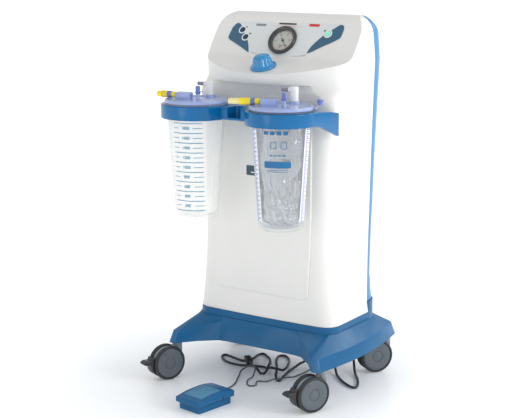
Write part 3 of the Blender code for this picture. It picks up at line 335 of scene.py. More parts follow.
def pad_rubber():
    """Tread pad: rows of small raised dots."""
    material, tree, place = new_tree("tread_pad")
    shader = tree.nodes["Principled BSDF"]
    shader.inputs["Base Color"].default_value = hex_colour("#4d88ad")
    tree.links.new(cloud(tree, place, 0.01, 0.4, 0.6), shader.inputs["Roughness"])
    dots = shader_node(tree, "TexVoronoi", Vector=place, Scale=260.0, Randomness=0.0)
    height = shader_node(tree, "MapRange", Value=dots.outputs["Distance"], From_Max=0.45, To_Min=1.0,
                         To_Max=0.0)
    bump = shader_node(tree, "Bump", Strength=0.7, Distance=0.0010, Height=height.outputs["Result"])
    tree.links.new(bump.outputs["Normal"], shader.inputs["Normal"])
    return material


# ---- Mesh helpers --------------------------------------------------------------------
def piece(name, bm, material, body, replaces=(), crease=35):
    """Turns a bmesh into a shown piece that rides on a body."""
    moved(bm, TO_FRAME)
    bmesh.ops.recalc_face_normals(bm, faces=bm.faces)
    mesh = bpy.data.meshes.new(name)
    bm.to_mesh(mesh)
    bm.free()
    mesh.shade_smooth()
    mesh.set_sharp_from_angle(angle=math.radians(crease))
    mesh.materials.append(material)
    obj = bpy.data.objects.new(name, mesh)
    bpy.context.scene.collection.objects.link(obj)
    if body:
        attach(obj, body)
    if replaces:
        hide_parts(*replaces)
    return obj


def moved(bm, matrix):
    bmesh.ops.transform(bm, matrix=matrix, verts=bm.verts)
    return bm


def shifted(bm, *offset):
    return moved(bm, Matrix.Translation(offset))


def joined(*bodies):
    """Puts several bodies into one bmesh, side by side or overlapping."""
    whole = bmesh.new()
    for bm in bodies:
        mesh = bpy.data.meshes.new("part")
        bm.to_mesh(mesh)
        bm.free()
        whole.from_mesh(mesh)
        bpy.data.meshes.remove(mesh)
    return whole


def helper_object(bm):
    bmesh.ops.recalc_face_normals(bm, faces=bm.faces)
    mesh = bpy.data.meshes.new("helper")
    bm.to_mesh(mesh)
    bm.free()
    obj = bpy.data.objects.new("helper", mesh)
    bpy.context.scene.collection.objects.link(obj)
    return obj


def evaluated(obj, *others):
    """The mesh of an object with its modifiers applied; the helper objects are removed."""
    graph = bpy.context.evaluated_depsgraph_get()
    mesh = bpy.data.meshes.new_from_object(obj.evaluated_get(graph))
    out = bmesh.new()
    out.from_mesh(mesh)
    bpy.data.meshes.remove(mesh)
    for used in (obj, *others):
        data = used.data
        bpy.data.objects.remove(used)
        bpy.data.meshes.remove(data)
    return out


def boolean(bm, tools, operation="DIFFERENCE"):
    base = helper_object(bm)
    guides = [helper_object(tool) for tool in tools]
    for guide in guides:
        modifier = base.modifiers.new("boolean", "BOOLEAN")
        modifier.operation = operation
        modifier.solver = "EXACT"
        modifier.object = guide
    return evaluated(base, *guides)


def soften(bm, width, segments=3, angle=30):
    """Rounds the sharp edges of a clean solid."""
    base = helper_object(bm)
    modifier = base.modifiers.new("bevel", "BEVEL")
    modifier.width = width
    modifier.segments = segments
    modifier.limit_method = "ANGLE"
    modifier.angle_limit = math.radians(angle)
    return evaluated(base)


def loft(rings, closed_ends=True):
    bm = bmesh.new()
    rows = [[bm.verts.new(point) for point in ring] for ring in rings]
    count = len(rings[0])
    for low, high in zip(rows, rows[1:]):
        for i in range(count):
            j = (i + 1) % count
            bm.faces.new((low[i], low[j], high[j], high[i]))
    if closed_ends:
        bm.faces.new(rows[0])
        bm.faces.new(rows[-1])
    return bm


def prism(outline, start, end, axis="z"):
    def lift(point, depth):
        if axis == "z":
            return (point[0], point[1], depth)
        if axis == "y":
            return (point[0], depth, point[1])
        return (depth, point[0], point[1])

    return loft([[lift(p, start) for p in outline], [lift(p, end) for p in outline]])


def box(low, high):
    (x0, y0, z0), (x1, y1, z1) = low, high
    return prism([(x0, y0), (x1, y0), (x1, y1), (x0, y1)], z0, z1)


def fillet(points, radius, closed=True, steps=4):
    """Rounds the corners of a path. A point may carry its own radius as a third number."""
    out = []
    for i, point in enumerate(points):
        own = point[2] if len(point) == 3 else radius
        here = Vector(point[:2])
        if own == 0 or (not closed and i in (0, len(points) - 1)):
            out.append(tuple(here))
            continue
        before = Vector(points[i - 1][:2]) - here
        after = Vector(points[(i + 1) % len(points)][:2]) - here
        reach = min(own, before.length * 0.48, after.length * 0.48)
        start = here + before.normalized() * reach
        end = here + after.normalized() * reach
        for step in range(steps + 1):
            t = step / steps
            out.append(tuple((1 - t) ** 2 * start + 2 * t * (1 - t) * here + t ** 2 * end))
    return out


def lathe(profile, steps=64, closed=False, ripple=None):
    """Spins an (r, z) profile round Z. ripple(angle, r, z) may return another radius."""
    bm = bmesh.new()
    rows = []
    for r, z in profile:
        row = []
        for k in range(steps if r > 1e-6 else 1):
            angle = 2 * math.pi * k / steps
            reach = ripple(angle, r, z) if ripple else r
            row.append(bm.verts.new((reach * math.cos(angle), reach * math.sin(angle), z)))
        rows.append(row)
    pairs = list(zip(rows, rows[1:]))
    if closed:
        pairs.append((rows[-1], rows[0]))
    for low, high in pairs:
        for k in range(steps):
            j = (k + 1) % steps
            corners = []
            for vert in (low[k % len(low)], low[j % len(low)], high[j % len(high)], high[k % len(high)]):
                if vert not in corners:
                    corners.append(vert)
            if len(corners) > 2:
                bm.faces.new(corners)
    return bm


def turned(points, radius=0.0008, steps=64, closed=False):
    """A turned solid whose profile corners are rounded."""
    return lathe(fillet(points, radius, closed, 3), steps, closed)


def smooth_path(knots, per_span=8):
    """A Catmull-Rom curve through the knots."""
    knots = [Vector(k) for k in knots]
    padded = [2 * knots[0] - knots[1], *knots, 2 * knots[-1] - knots[-2]]
    path = []
    for a, b, c, d in zip(padded, padded[1:], padded[2:], padded[3:]):
        for step in range(per_span):
            t = step / per_span
            path.append(0.5 * (2 * b + (c - a) * t + (2 * a - 5 * b + 4 * c - d) * t ** 2
                               + (3 * b - a - 3 * c + d) * t ** 3))
    path.append(knots[-1])
    return path


def tube(points, radius, sides=12):
    points = [Vector(p) for p in points]
    rings = []
    side = None
    for i, point in enumerate(points):
        ahead = points[min(i + 1, len(points) - 1)] - points[max(i - 1, 0)]
        tangent = ahead.normalized()
        if side is None:
            side = tangent.orthogonal().normalized()
        side = (side - tangent * side.dot(tangent)).normalized()
        up = tangent.cross(side)
        rings.append([
            point + radius * (math.cos(a) * side + math.sin(a) * up)
            for a in (2 * math.pi * k / sides for k in range(sides))
        ])
    return loft(rings)


def rounded_block(size_x, size_y, low_z, high_z, corner, edge=0.001):
    half_x, half_y = size_x / 2, size_y / 2
    outline = fillet([(half_x, half_y), (-half_x, half_y), (-half_x, -half_y), (half_x, -half_y)], corner,
                     steps=6)
    return soften(prism(outline, low_z, high_z), edge)


def frame_matrix(origin, z_axis, x_axis):
    """A placement whose Z and X run along the given directions."""
    z = Vector(z_axis).normalized()
    x = Vector(x_axis)
    x = (x - z * x.dot(z)).normalized()
    rotation = Matrix((x, z.cross(x), z)).transposed().to_4x4()
    return Matrix.Translation(origin) @ rotation


def smoothstep(value, low, high):
    t = min(max((value - low) / (high - low), 0.0), 1.0)
    return t * t * (3 - 2 * t)


# ---- Covers --------------------------------------------------------------------------
def half_width(z):
    """Half-width of the covers: waisted, widest in the hood, with rounded shoulders."""
    if z < WAIST_Z:
        share = (WAIST_Z - z) / (WAIST_Z - FOOT_Z)
        return HALF_WAIST + (HALF_FOOT - HALF_WAIST) * share ** 2
    share = (z - WAIST_Z) / (LIP_Z - WAIST_Z)
    width = min(HALF_WAIST + 0.019 * share ** 2, HALF_HOOD)
    if z > SHOULDER_Z:
        rise = min(z - SHOULDER_Z, SHOULDER_R)
        width -= SHOULDER_R - math.sqrt(SHOULDER_R ** 2 - rise ** 2)
    return width


def seam(z):
    """Y of the joint between the front and rear covers."""
    z = max(z, REAR_FOOT_Z)
    bend = 0.48 if z < SEAM_Z else 0.24
    return SEAM_Y - bend * (z - SEAM_Z) ** 2


def cover_outline(half, front, sag, corner, back, arc=12, across=28, groove=0.0009):
    """Plan of the front cover: chamfered at the seam, rounded front corners, bowed front."""
    inner = half - corner
    edge = front + sag * (inner / half) ** 2
    tip = front + sag
    right = []
    for step in range(arc + 1):
        t = step / arc
        x = (1 - t) ** 2 * inner + 2 * t * (1 - t) * half + t ** 2 * half
        y = (1 - t) ** 2 * edge + 2 * t * (1 - t) * tip + t ** 2 * (tip + corner)
        right.append((x, y))
    right += [(half, back - groove), (half - groove, back)]
    middle = []
    for step in range(1, across):
        x = inner * (2 * step / across - 1)
        middle.append((x, front + sag * (x / half) ** 2))
    return [(-x, y) for x, y in reversed(right)] + middle + right


def levels(low, high, count=96):
    plain = [low + (high - low) * step / count for step in range(count + 1)]
    fine_top = [SHOULDER_Z + (high - SHOULDER_Z) * math.sin(math.pi / 2 * step / 12) for step in range(1, 12)]
    return sorted(set(plain + fine_top))


def front_rings():
    rings = []
    for z in levels(FOOT_Z, TOP_Z):
        half = half_width(z)
        body = cover_outline(half, FRONT_Y, 0.004, FRONT_CORNER, seam(z))
        hood = cover_outline(half, LIP_Y, HOOD_CURVE * half ** 2, 0.030, seam(z))
        share = smoothstep(z, HOOD_START_Z, HOOD_FULL_Z)
        rings.append([(a[0] + (b[0] - a[0]) * share, a[1] + (b[1] - a[1]) * share, z) for a,
                      b in zip(body, hood)])
    return rings


def console_cutter():
    """Everything in front of and above the shelf, the panel and the crest, in side view."""
    slope = (PANEL_LOW[1] - LIP_Z) / (PANEL_LOW[0] - LIP_Y)
    start = (-0.200, LIP_Z - slope * (0.200 + LIP_Y), 0)
    crest = [(0.030, 0.8315, 0.004), (0.048, 0.8398, 0.010), (0.080, CREST_TOP_Z, 0)]
    line = [start, (*PANEL_LOW, 0.012), (*PANEL_HIGH, 0.006), *crest]
    profile = fillet(line, 0, closed=False, steps=6) + [(0.080, 0.900), (-0.200, 0.900)]
    return prism(profile, -0.25, 0.25, "x")


def pocket():
    """The recess under the hood, wider at the top."""
    outline = [(-0.132, POCKET_Z), (0.132, POCKET_Z), (0.158, BAND_Z, 0.001), (-0.158, BAND_Z, 0.001)]
    return prism(fillet(outline, 0.004), -0.20, POCKET_Y, "y")


def shield():
    """Raised front panel with a rounded foot."""
    right = [(0.100, 0.2175, 0.02), (0.1235, 0.2200, 0.022), (0.1275, 0.300, 0.03), (0.131, 0.380, 0.05),
             (0.131, 0.610)]
    left = [(-p[0], *p[1:]) for p in reversed(right)]
    panel = prism(fillet(right + left, 0.002, steps=8), FRONT_Y - SHIELD_OUT, FRONT_Y + 0.012, "y")
    return soften(panel, 0.0014, 3, 60)


def panel_frame(x, along, out=0.0):
    """A placement on the console panel: local X to the right, Y up the panel, Z out of it."""
    up = Vector((0, PANEL_HIGH[0] - PANEL_LOW[0], PANEL_HIGH[1] - PANEL_LOW[1])).normalized()
    normal = Vector((1, 0, 0)).cross(up)
    origin = Vector((x, *PANEL_LOW)) + along * up + out * normal
    return frame_matrix(origin, normal, (1, 0, 0))


def joint_frame(name, out=0.0):
    axis = Vector(JOINTS[name]["axis"])
    return frame_matrix(joint_place(name) + out * axis, axis, (1, 0, 0))


def button_frame(node):
    """The place of a button's axis on the panel."""
    plane = panel_frame(0, 0)
    local = plane.inverted() @ node_centre(node)
    return plane @ Matrix.Translation((local.x, local.y, 0))


BUTTONS = {"power_button": "green", "range_button_upper": "navy", "range_button_lower": "navy"}
GAUGE_R = 0.033
BUTTON_R = 0.0065


def build_covers(paint):
    cover = boolean(loft(front_rings()), [shield()], "UNION")
    holes = [console_cutter(), pocket()]
    holes.append(moved(lathe([(0, -0.012), (GAUGE_R + GAP, -0.012), (GAUGE_R + GAP, 0.01), (0, 0.01)]),
                       joint_frame("needle_swing")))
    for node in BUTTONS:
        hole = lathe([(0, -0.008), (BUTTON_R + GAP, -0.008), (BUTTON_R + GAP, 0.01), (0, 0.01)], 32)
        holes.append(moved(hole, button_frame(node)))
    cover = boolean(cover, holes)
    piece("front_cover_shell", cover, paint["white"], ROOT, ["front_cover"], crease=28)
    build_rear_cover(paint)
    build_pillar_details(paint)


def rear_y(z):
    """Y of the back of the rear cover: foot hump, leaning back, rounded over at the top."""
    bend = 0.38 if z < 0.5 else 0.29
    back = REAR_Y - bend * (z - 0.5) ** 2
    hump = 1 - smoothstep(z, 0.228, 0.250)
    back += (BACK_Y - back) * hump
    if z > 0.790:
        share = min((z - 0.790) / (TOP_Z - 0.790), 1.0)
        back = seam(z) + 0.004 + (rear_y(0.790) - seam(z) - 0.004) * math.sqrt(1 - share ** 2)
    return back


def rear_outline(half, back, corner, front, arc=14, across=8, groove=0.0009):
    inner = half - corner
    low = max(back - corner, front + groove)
    right = [(half - groove, front), (half, front + groove)]
    for step in range(arc + 1):
        t = math.pi / 2 * step / arc
        right.append((inner + corner * math.cos(t), low + (back - low) * math.sin(t)))
    middle = [(inner * (1 - 2 * step / across), back) for step in range(1, across)]
    return right + middle + [(-x, y) for x, y in reversed(right)]


def build_rear_cover(paint):
    rings = []
    for z in levels(REAR_FOOT_Z + GAP, CREST_TOP_Z - 0.0035):
        outline = rear_outline(half_width(z), rear_y(z), REAR_CORNER, seam(z) + GAP)
        rings.append([(x, y, z) for x, y in outline])
    slots = []
    for number in range(9):
        slot = rounded_block(0.006, 0.050, 0, 0.060, 0.0028, 0.0004)
        slots.append(shifted(slot, 0.018 * (number - 4), REAR_Y, 0.300))
    cover = boolean(loft(rings), slots)
    piece("rear_cover_shell", cover, paint["rear_blue"], ROOT, ["rear_cover"], crease=28)


def build_pillar_details(paint):
    """The plain label plate on the front."""
    plate = rounded_block(0.034, 0.0225, -0.0006, 0.0008, 0.002, 0.0003)
    upright = Matrix.Rotation(math.radians(90), 4, "X")
    place = Matrix.Translation((-0.020, FRONT_Y - SHIELD_OUT, 0.498)) @ upright
    piece("label_plate", moved(plate, place), paint["label"], ROOT)
    bar = rounded_block(0.018, 0.0022, 0.0007, 0.0010, 0.001, 0.0001)
    piece("label_plate_bar", moved(bar, place @ Matrix.Translation((0.004, -0.004, 0))), paint["ring"], ROOT)


# ---- Base ----------------------------------------------------------------------------
def base_outline(inset=0.0):
    """Plan of the base's lower edge: four splayed legs with a deep recess in front."""
    quarter = [
        (0.0, -0.1005 + inset),
        (0.050, -0.1005 + inset),
        (0.092, -0.1010 + inset),
        (0.112 - inset, -0.104 + inset),
        (0.150 - inset, -0.136 + inset),
    ]
    reach = 0.014 - inset / 2
    for step in range(9):
        angle = math.radians(-130 + 15.5 * step)
        quarter.append((0.192 - inset / 2 + reach * math.cos(angle),
                        -0.166 + inset / 2 + reach * math.sin(angle)))
    quarter += [(0.214 - inset, -0.120), (0.221 - inset, -0.070), (0.2235 - inset, -0.020),
                (0.224 - inset, 0.0)]
    front = quarter + [(x, -y) for x, y in reversed(quarter[:-1])]
    outline = front + [(-x, y) for x, y in reversed(front[1:-1])]
    return [(x, max(y, SKIRT_Y - inset) if y > 0 and abs(x) < 0.16 else y) for x, y in outline]


def crest_height(x, y):
    """Height of the top edge of the flanks: high at the skirts, low at the legs."""
    reach = min(max((abs(x) - 0.104) / (0.190 - 0.104), 0.0), 1.0)
    if abs(y) < 0.099:
        reach = 1.0
    return SKIRT_CREST_Z + (CREST_Z - SKIRT_CREST_Z) * reach


def body_plan(out):
    """Half-width, front and back of the body's foot, moved out."""
    return HALF_FOOT + out, FRONT_Y - 0.001 - out, BACK_Y + out


def ledge_ring(points, out, z):
    """Moves the base's points onto the rectangle round the body's foot."""
    half, front, back = body_plan(out)
    ring = []
    for x, y in points:
        limit = -front if y < 0 else back
        corner = out + (FRONT_CORNER if y < 0 else REAR_CORNER)
        px = min(abs(x) * 0.93, half)
        py = min(abs(y), limit)
        over_x = px - (half - corner)
        over_y = py - (limit - corner)
        if over_x > 0 and over_y > 0:
            size = math.hypot(over_x, over_y)
            px = half - corner + over_x * corner / size
            py = limit - corner + over_y * corner / size
        ring.append((math.copysign(px, x) if x else 0.0, math.copysign(py, y) if y else 0.0, z))
    return ring


def base_rings(inset, low):
    outline = base_outline(inset)
    crest = [
        (x * 0.955, y * (0.985 if abs(y) < 0.11 else 0.975), crest_height(x, y) - inset)
        for x, y in outline
    ]
    return [[(x, y, low) for x, y in outline], crest,
            ledge_ring(outline, COLLAR_OUT - inset, LEDGE_Z - inset)]


def foot_outline(out, arc=12):
    """Rounded rectangle round the foot of the body."""
    half, front, back = body_plan(out)
    points = []
    for quadrant in range(4):
        sx = (1, -1, -1, 1)[quadrant]
        at_back = quadrant < 2
        radius = out + (REAR_CORNER if at_back else FRONT_CORNER)
        centre_x = sx * (half - radius)
        centre_y = back - radius if at_back else front + radius
        for step in range(arc + 1):
            t = math.pi / 2 * (quadrant + step / arc)
            points.append((centre_x + radius * math.cos(t), centre_y + radius * math.sin(t)))
    return points


def build_base(paint):
    base = soften(loft(base_rings(0.0, BASE_Z)), 0.0022, 3, 12)
    collar = boolean(prism(foot_outline(0.0), LEDGE_Z - 0.008, REAR_FOOT_Z),
                     [box((-0.3, -0.3, COLLAR_Z), (0.3, seam(REAR_FOOT_Z) + GAP, 0.3))])
    base = boolean(base, [collar], "UNION")
    base = boolean(base, [prism(foot_outline(-0.012), BASE_Z - 0.01, LEDGE_Z - BASE_WALL)])
    piece("trolley_base_moulding", base, paint["blue"], ROOT, ["trolley_base"], crease=24)


# ---- Castors -------------------------------------------------------------------------
def stem_place(corner):
    return joint_place(f"castor_{corner}_swivel")


def castor_frame(corner):
    """Origin on the floor under the stem, X towards the trailing side, Y along the axle."""
    stem = stem_place(corner)
    centre = joint_place(f"wheel_outer_{corner}_roll")
    return frame_matrix((stem.x, stem.y, 0), (0, 0, 1), (centre.x - stem.x, centre.y - stem.y, 0))


def web_outline():
    """Side view of the housing between the wheels: neck, mudguard arc, axle boss."""
    guard = 0.0368
    points = [(-0.0100, 0.0815, 0), (-0.0100, 0.060, 0.004), (0.006, 0.040, 0.004)]
    for degrees in range(-130, -49, 10):
        angle = math.radians(degrees)
        points.append((TRAIL + 0.013 * math.cos(angle), WHEEL_R + 0.013 * math.sin(angle), 0))
    for degrees in range(-8, 115, 6):
        angle = math.radians(degrees)
        points.append((TRAIL + guard * math.cos(angle), WHEEL_R + guard * math.sin(angle), 0))
    points.append((0.0105, 0.0815, 0))
    return fillet(points, 0)


def build_castor(corner, paint):
    place = castor_frame(corner)
    to_axle = place @ Matrix.Translation((TRAIL, 0, WHEEL_R)) @ Matrix.Rotation(math.radians(-90), 4, "X")
    body = f"castor_{corner}"
    web = soften(prism(web_outline(), -WEB_W / 2, WEB_W / 2, "y"), 0.0012, 3, 50)
    neck = turned([(0, 0.0720), (STEM_R * 0.92, 0.0720), (STEM_R * 0.92, 0.0790), (STEM_R, 0.0800),
                   (STEM_R, BASE_Z - 0.0016), (0, BASE_Z - 0.0016)], 0.0010, 48)
    piece(f"castor_fork_{corner}", moved(joined(web, neck), place), paint["guard"], body,
          [f"castor_housing_{corner}"])
    washer = turned([(0, BASE_Z - 0.0018), (0.0128, BASE_Z - 0.0018), (0.0128, BASE_Z - GAP),
                     (0, BASE_Z - GAP)],
                    0.0004, 48)
    piece(f"castor_washer_{corner}", moved(washer, place), paint["washer"], body)
    for side, turn in (("outer", 0), ("inner", math.pi)):
        build_wheel(corner, side, to_axle @ Matrix.Rotation(turn, 4, "X"), paint)
    if corner.startswith("front"):
        build_brake(corner, place, paint)


def build_wheel(corner, side, place, paint):
    inner = WEB_W / 2 + GAP
    outer = inner + WHEEL_W
    tyre = [(0.0346, inner + 0.001), (0.0346, outer - 0.0006), (0.0352, outer, 0.0003),
            (0.0372, outer, 0.001),
            (WHEEL_R, outer - 0.0030, 0.0022), (WHEEL_R, inner + 0.0026, 0.0022), (0.0374, inner, 0.001),
            (0.0352, inner)]
    wheel = lathe(fillet(tyre, 0.0002, steps=4), 96, closed=True)
    piece(f"tyre_{side}_{corner}", moved(wheel, place), paint["rubber"], f"wheel_{side}_{corner}",
          [f"wheel_{side}_{corner}"])
    face = outer - 0.0008
    disc = [(0, face - 0.0003), (0.0118, face - 0.0003), (0.0121, face - 0.0011), (0.0128, face - 0.0011),
            (0.0131, face), (0.0328, face - 0.0001), (0.0340, face - 0.0008), (0.0344, face - 0.0020),
            (0.0344, inner + 0.0015), (0, inner + 0.0015)]
    hub = lathe(fillet(disc, 0.0002, closed=False, steps=2), 96)
    piece(f"wheel_disc_{side}_{corner}", moved(hub, place), paint["disc"], f"wheel_{side}_{corner}")
    dot = turned([(0, face - 0.0004), (0.0016, face - 0.0004), (0.0016, face + 0.0002), (0, face + 0.0002)],
                 0.0002, 20)
    dot = shifted(dot, 0.0150, -0.0245, 0)
    piece(f"wheel_mark_{side}_{corner}", moved(dot, place), paint["dark"], f"wheel_{side}_{corner}")


def build_brake(corner, place, paint):
    """Brake lever: a curved shoe behind the tyres with a ribbed tongue for the toe."""
    def at(radius, degrees):
        angle = math.radians(degrees)
        return (TRAIL + radius * math.cos(angle), WHEEL_R + radius * math.sin(angle), 0)

    outline = [at(0.0415, a) for a in range(-28, 25, 4)]
    outline += [at(0.0470, 24), at(0.0482, 14), (*at(0.0600, 12)[:2], 0.002), (*at(0.0660, 8)[:2], 0.0025),
                (*at(0.0655, 4)[:2], 0.002), (*at(0.0600, 2.5)[:2], 0.002), at(0.0482, 2)]
    outline += [at(0.0476, -14), at(0.0450, -28)]
    lever = soften(prism(fillet(outline, 0), -0.011, 0.011, "y"), 0.0014, 3, 40)
    ribs = []
    for number in range(4):
        centre = at(0.0535 + 0.0030 * number, 11.2 - number * 0.5)
        rib = rounded_block(0.0012, 0.018, 0, 0.0016, 0.0005, 0.0003)
        ribs.append(shifted(rib, centre[0], 0, centre[1] - 0.0004))
    piece(f"brake_lever_{corner}", moved(joined(lever, *ribs), place), paint["dark"], f"brake_pedal_{corner}",
          [f"brake_pedal_{corner}"])


# ---- Console -------------------------------------------------------------------------
def arc_points(radius, start, end, step=6):
    count = max(int(abs(end - start) / step), 2)
    angles = [math.radians(start + (end - start) * i / count) for i in range(count + 1)]
    return [(radius * math.cos(a), radius * math.sin(a)) for a in angles]


def arc_band(inner, outer, start, end):
    return arc_points(outer, start, end) + arc_points(inner, end, start)


def overlay_outline():
    """Outline of the console overlay, (x, up the panel), with a bowed lower edge."""
    points = [(-0.1510, 0.041, 0.006), (-0.1475, 0.073, 0.010), (-0.1390, 0.0860, 0.008),
              (0.1335, 0.0895, 0.008),
              (0.1435, 0.0880, 0.006), (0.1472, 0.0760, 0.008), (0.1455, 0.0535, 0.005),
              (0.1305, 0.0430, 0.01),
              (0.1032, 0.0275, 0.02), (0.0735, 0.0105, 0.003)]
    for step in range(1, 16):
        x = 0.0735 - 0.1525 * step / 16
        points.append((x, 0.0008 + 0.0060 * (x / 0.0735) ** 2, 0))
    points += [(-0.0795, 0.0045, 0.003), (-0.1018, 0.0165, 0.02), (-0.1458, 0.0370, 0.006)]
    return fillet(points, 0.003)


LEFT_FLASH = [(-0.1375, 0.0828), (-0.1290, 0.0805), (-0.1225, 0.0735, 0.008), (-0.0895, 0.0335, 0.02),
              (-0.0783, 0.0058, 0.002), (-0.1013, 0.0178, 0.02), (-0.1451, 0.0385, 0.006),
              (-0.1495, 0.0445, 0.004),
              (-0.1467, 0.0725, 0.008)]
RIGHT_FLASH = [(0.0725, 0.0115, 0.002), (0.0775, 0.0290, 0.014), (0.0965, 0.0565, 0.02),
               (0.1240, 0.0805, 0.01),
               (0.1338, 0.0885, 0.006), (0.1424, 0.0865, 0.005), (0.1461, 0.0758, 0.008),
               (0.1445, 0.0545, 0.005),
               (0.1302, 0.0440, 0.01), (0.1029, 0.0285, 0.02), (0.0822, 0.0150, 0.01)]


def print_mark(name, outline, material, place=None, low=OVERLAY_TOP - 0.0002, high=OVERLAY_TOP + 0.00025):
    """A thin printed shape on the console overlay."""
    place = place or panel_frame(0, 0)
    return piece(name, moved(prism(outline, low, high), place), material, ROOT)


def bar_outline(x, y, width, height, corner=0.0012):
    half_x, half_y = width / 2, height / 2
    return fillet([(x + half_x, y + half_y), (x - half_x, y + half_y), (x - half_x, y - half_y),
                   (x + half_x, y - half_y)], corner)


def ring_solid(inner, outer, low, high, steps=48):
    profile = [(inner, low), (outer, low), (outer, high, 0.0004), (inner, high, 0.0004)]
    return lathe(fillet(profile, 0, steps=3), steps, closed=True)


def button_hole(node):
    """Cutter for the clearance hole round a button."""
    hole = lathe([(0, -0.01), (BUTTON_R + GAP, -0.01), (BUTTON_R + GAP, 0.01), (0, 0.01)], 32)
    return moved(hole, button_frame(node))


def flash_print(name, outline, material, buttons):
    """A printed shape on the overlay, with holes for the buttons that stand in it."""
    shape = prism(fillet(outline, 0.003), OVERLAY_TOP - 0.0002, OVERLAY_TOP + 0.00025)
    holes = [button_hole(node) for node in buttons]
    return piece(name, boolean(moved(shape, panel_frame(0, 0)), holes), material, ROOT)


def build_console(paint):
    cutters = [moved(lathe([(0, -0.01), (GAUGE_R + 0.0004, -0.01), (GAUGE_R + 0.0004, 0.01), (0, 0.01)]),
                     joint_frame("needle_swing"))]
    cutters += [button_hole(node) for node in BUTTONS]
    sheet = moved(prism(overlay_outline(), GAP, OVERLAY_TOP), panel_frame(0, 0))
    piece("console_overlay", boolean(sheet, cutters), paint["overlay"], ROOT, ["fascia_overlay"])
    flash_print("flash_left", LEFT_FLASH, paint["flash"], ["range_button_upper", "range_button_lower"])
    flash_print("flash_right", RIGHT_FLASH, paint["flash"], ["power_button"])
    print_mark("grey_bar", bar_outline(-0.0718, 0.0795, 0.027, 0.0060), paint["print_grey"])
    print_mark("red_bar", bar_outline(0.0680, 0.0838, 0.027, 0.0066), paint["print_red"])
    print_mark("title_bar", bar_outline(-0.002, 0.0850, 0.046, 0.0040), paint["print_dark"])
    lower = [(x / 1000, 0.0012 + 0.0060 * (x / 73.5) ** 2) for x in range(-72, 73, 6)]
    line = lower + [(x, y - 0.0007) for x, y in reversed(lower)]
    print_mark("overlay_edge_line", line, paint["print_grey"])
    for side, sign in SIDES.items():
        tip = [(sign * 0.002, 0.0800), (sign * 0.002, 0.0790), (sign * 0.047, 0.0786)]
        print_mark(f"title_line_{side}", tip, paint["print_orange"])
    for number, (x, y) in enumerate(((-0.1093, 0.0722), (-0.0930, 0.0553), (0.0994, 0.0709))):
        dot = turned([(0, 0), (0.0017, 0), (0.0017, OVERLAY_TOP + 0.0006), (0, OVERLAY_TOP + 0.0009)],
                     0.0004, 24)
        piece(f"status_lamp_{number}", moved(dot, panel_frame(x, y)), paint["print_dark"], ROOT)
        print_mark(f"lamp_ring_{number}", arc_band(0.0024, 0.0029, 0, 359), paint["print_grey"],
                   panel_frame(x, y))
    for node, colour in BUTTONS.items():
        place = button_frame(node)
        cap = turned([(0, -0.0030), (BUTTON_R, -0.0030), (BUTTON_R, 0.0026), (0.0040, 0.0023, 0.002),
                      (0, 0.0018)],
                     0.0009, 48)
        piece(f"{node}_cap", moved(cap, place), paint[colour], node, [node])
        piece(f"{node}_ring", moved(ring_solid(0.0072, 0.0102, OVERLAY_TOP - 0.0002, 0.0018), place),
              paint["ring"], ROOT)
    build_gauge(paint)


def text_body(words, size, weight=0.0):
    """Flat generic figures, such as the numbers of a scale."""
    curve = bpy.data.curves.new("figures", "FONT")
    curve.body = words
    curve.size = size
    curve.offset = weight
    curve.align_x = "CENTER"
    curve.align_y = "CENTER"
    obj = bpy.data.objects.new("figures", curve)
    bpy.context.scene.collection.objects.link(obj)
    graph = bpy.context.evaluated_depsgraph_get()
    mesh = bpy.data.meshes.new_from_object(obj.evaluated_get(graph))
    bpy.data.objects.remove(obj)
    bm = bmesh.new()
    bm.from_mesh(mesh)
    bpy.data.meshes.remove(mesh)
    return bm


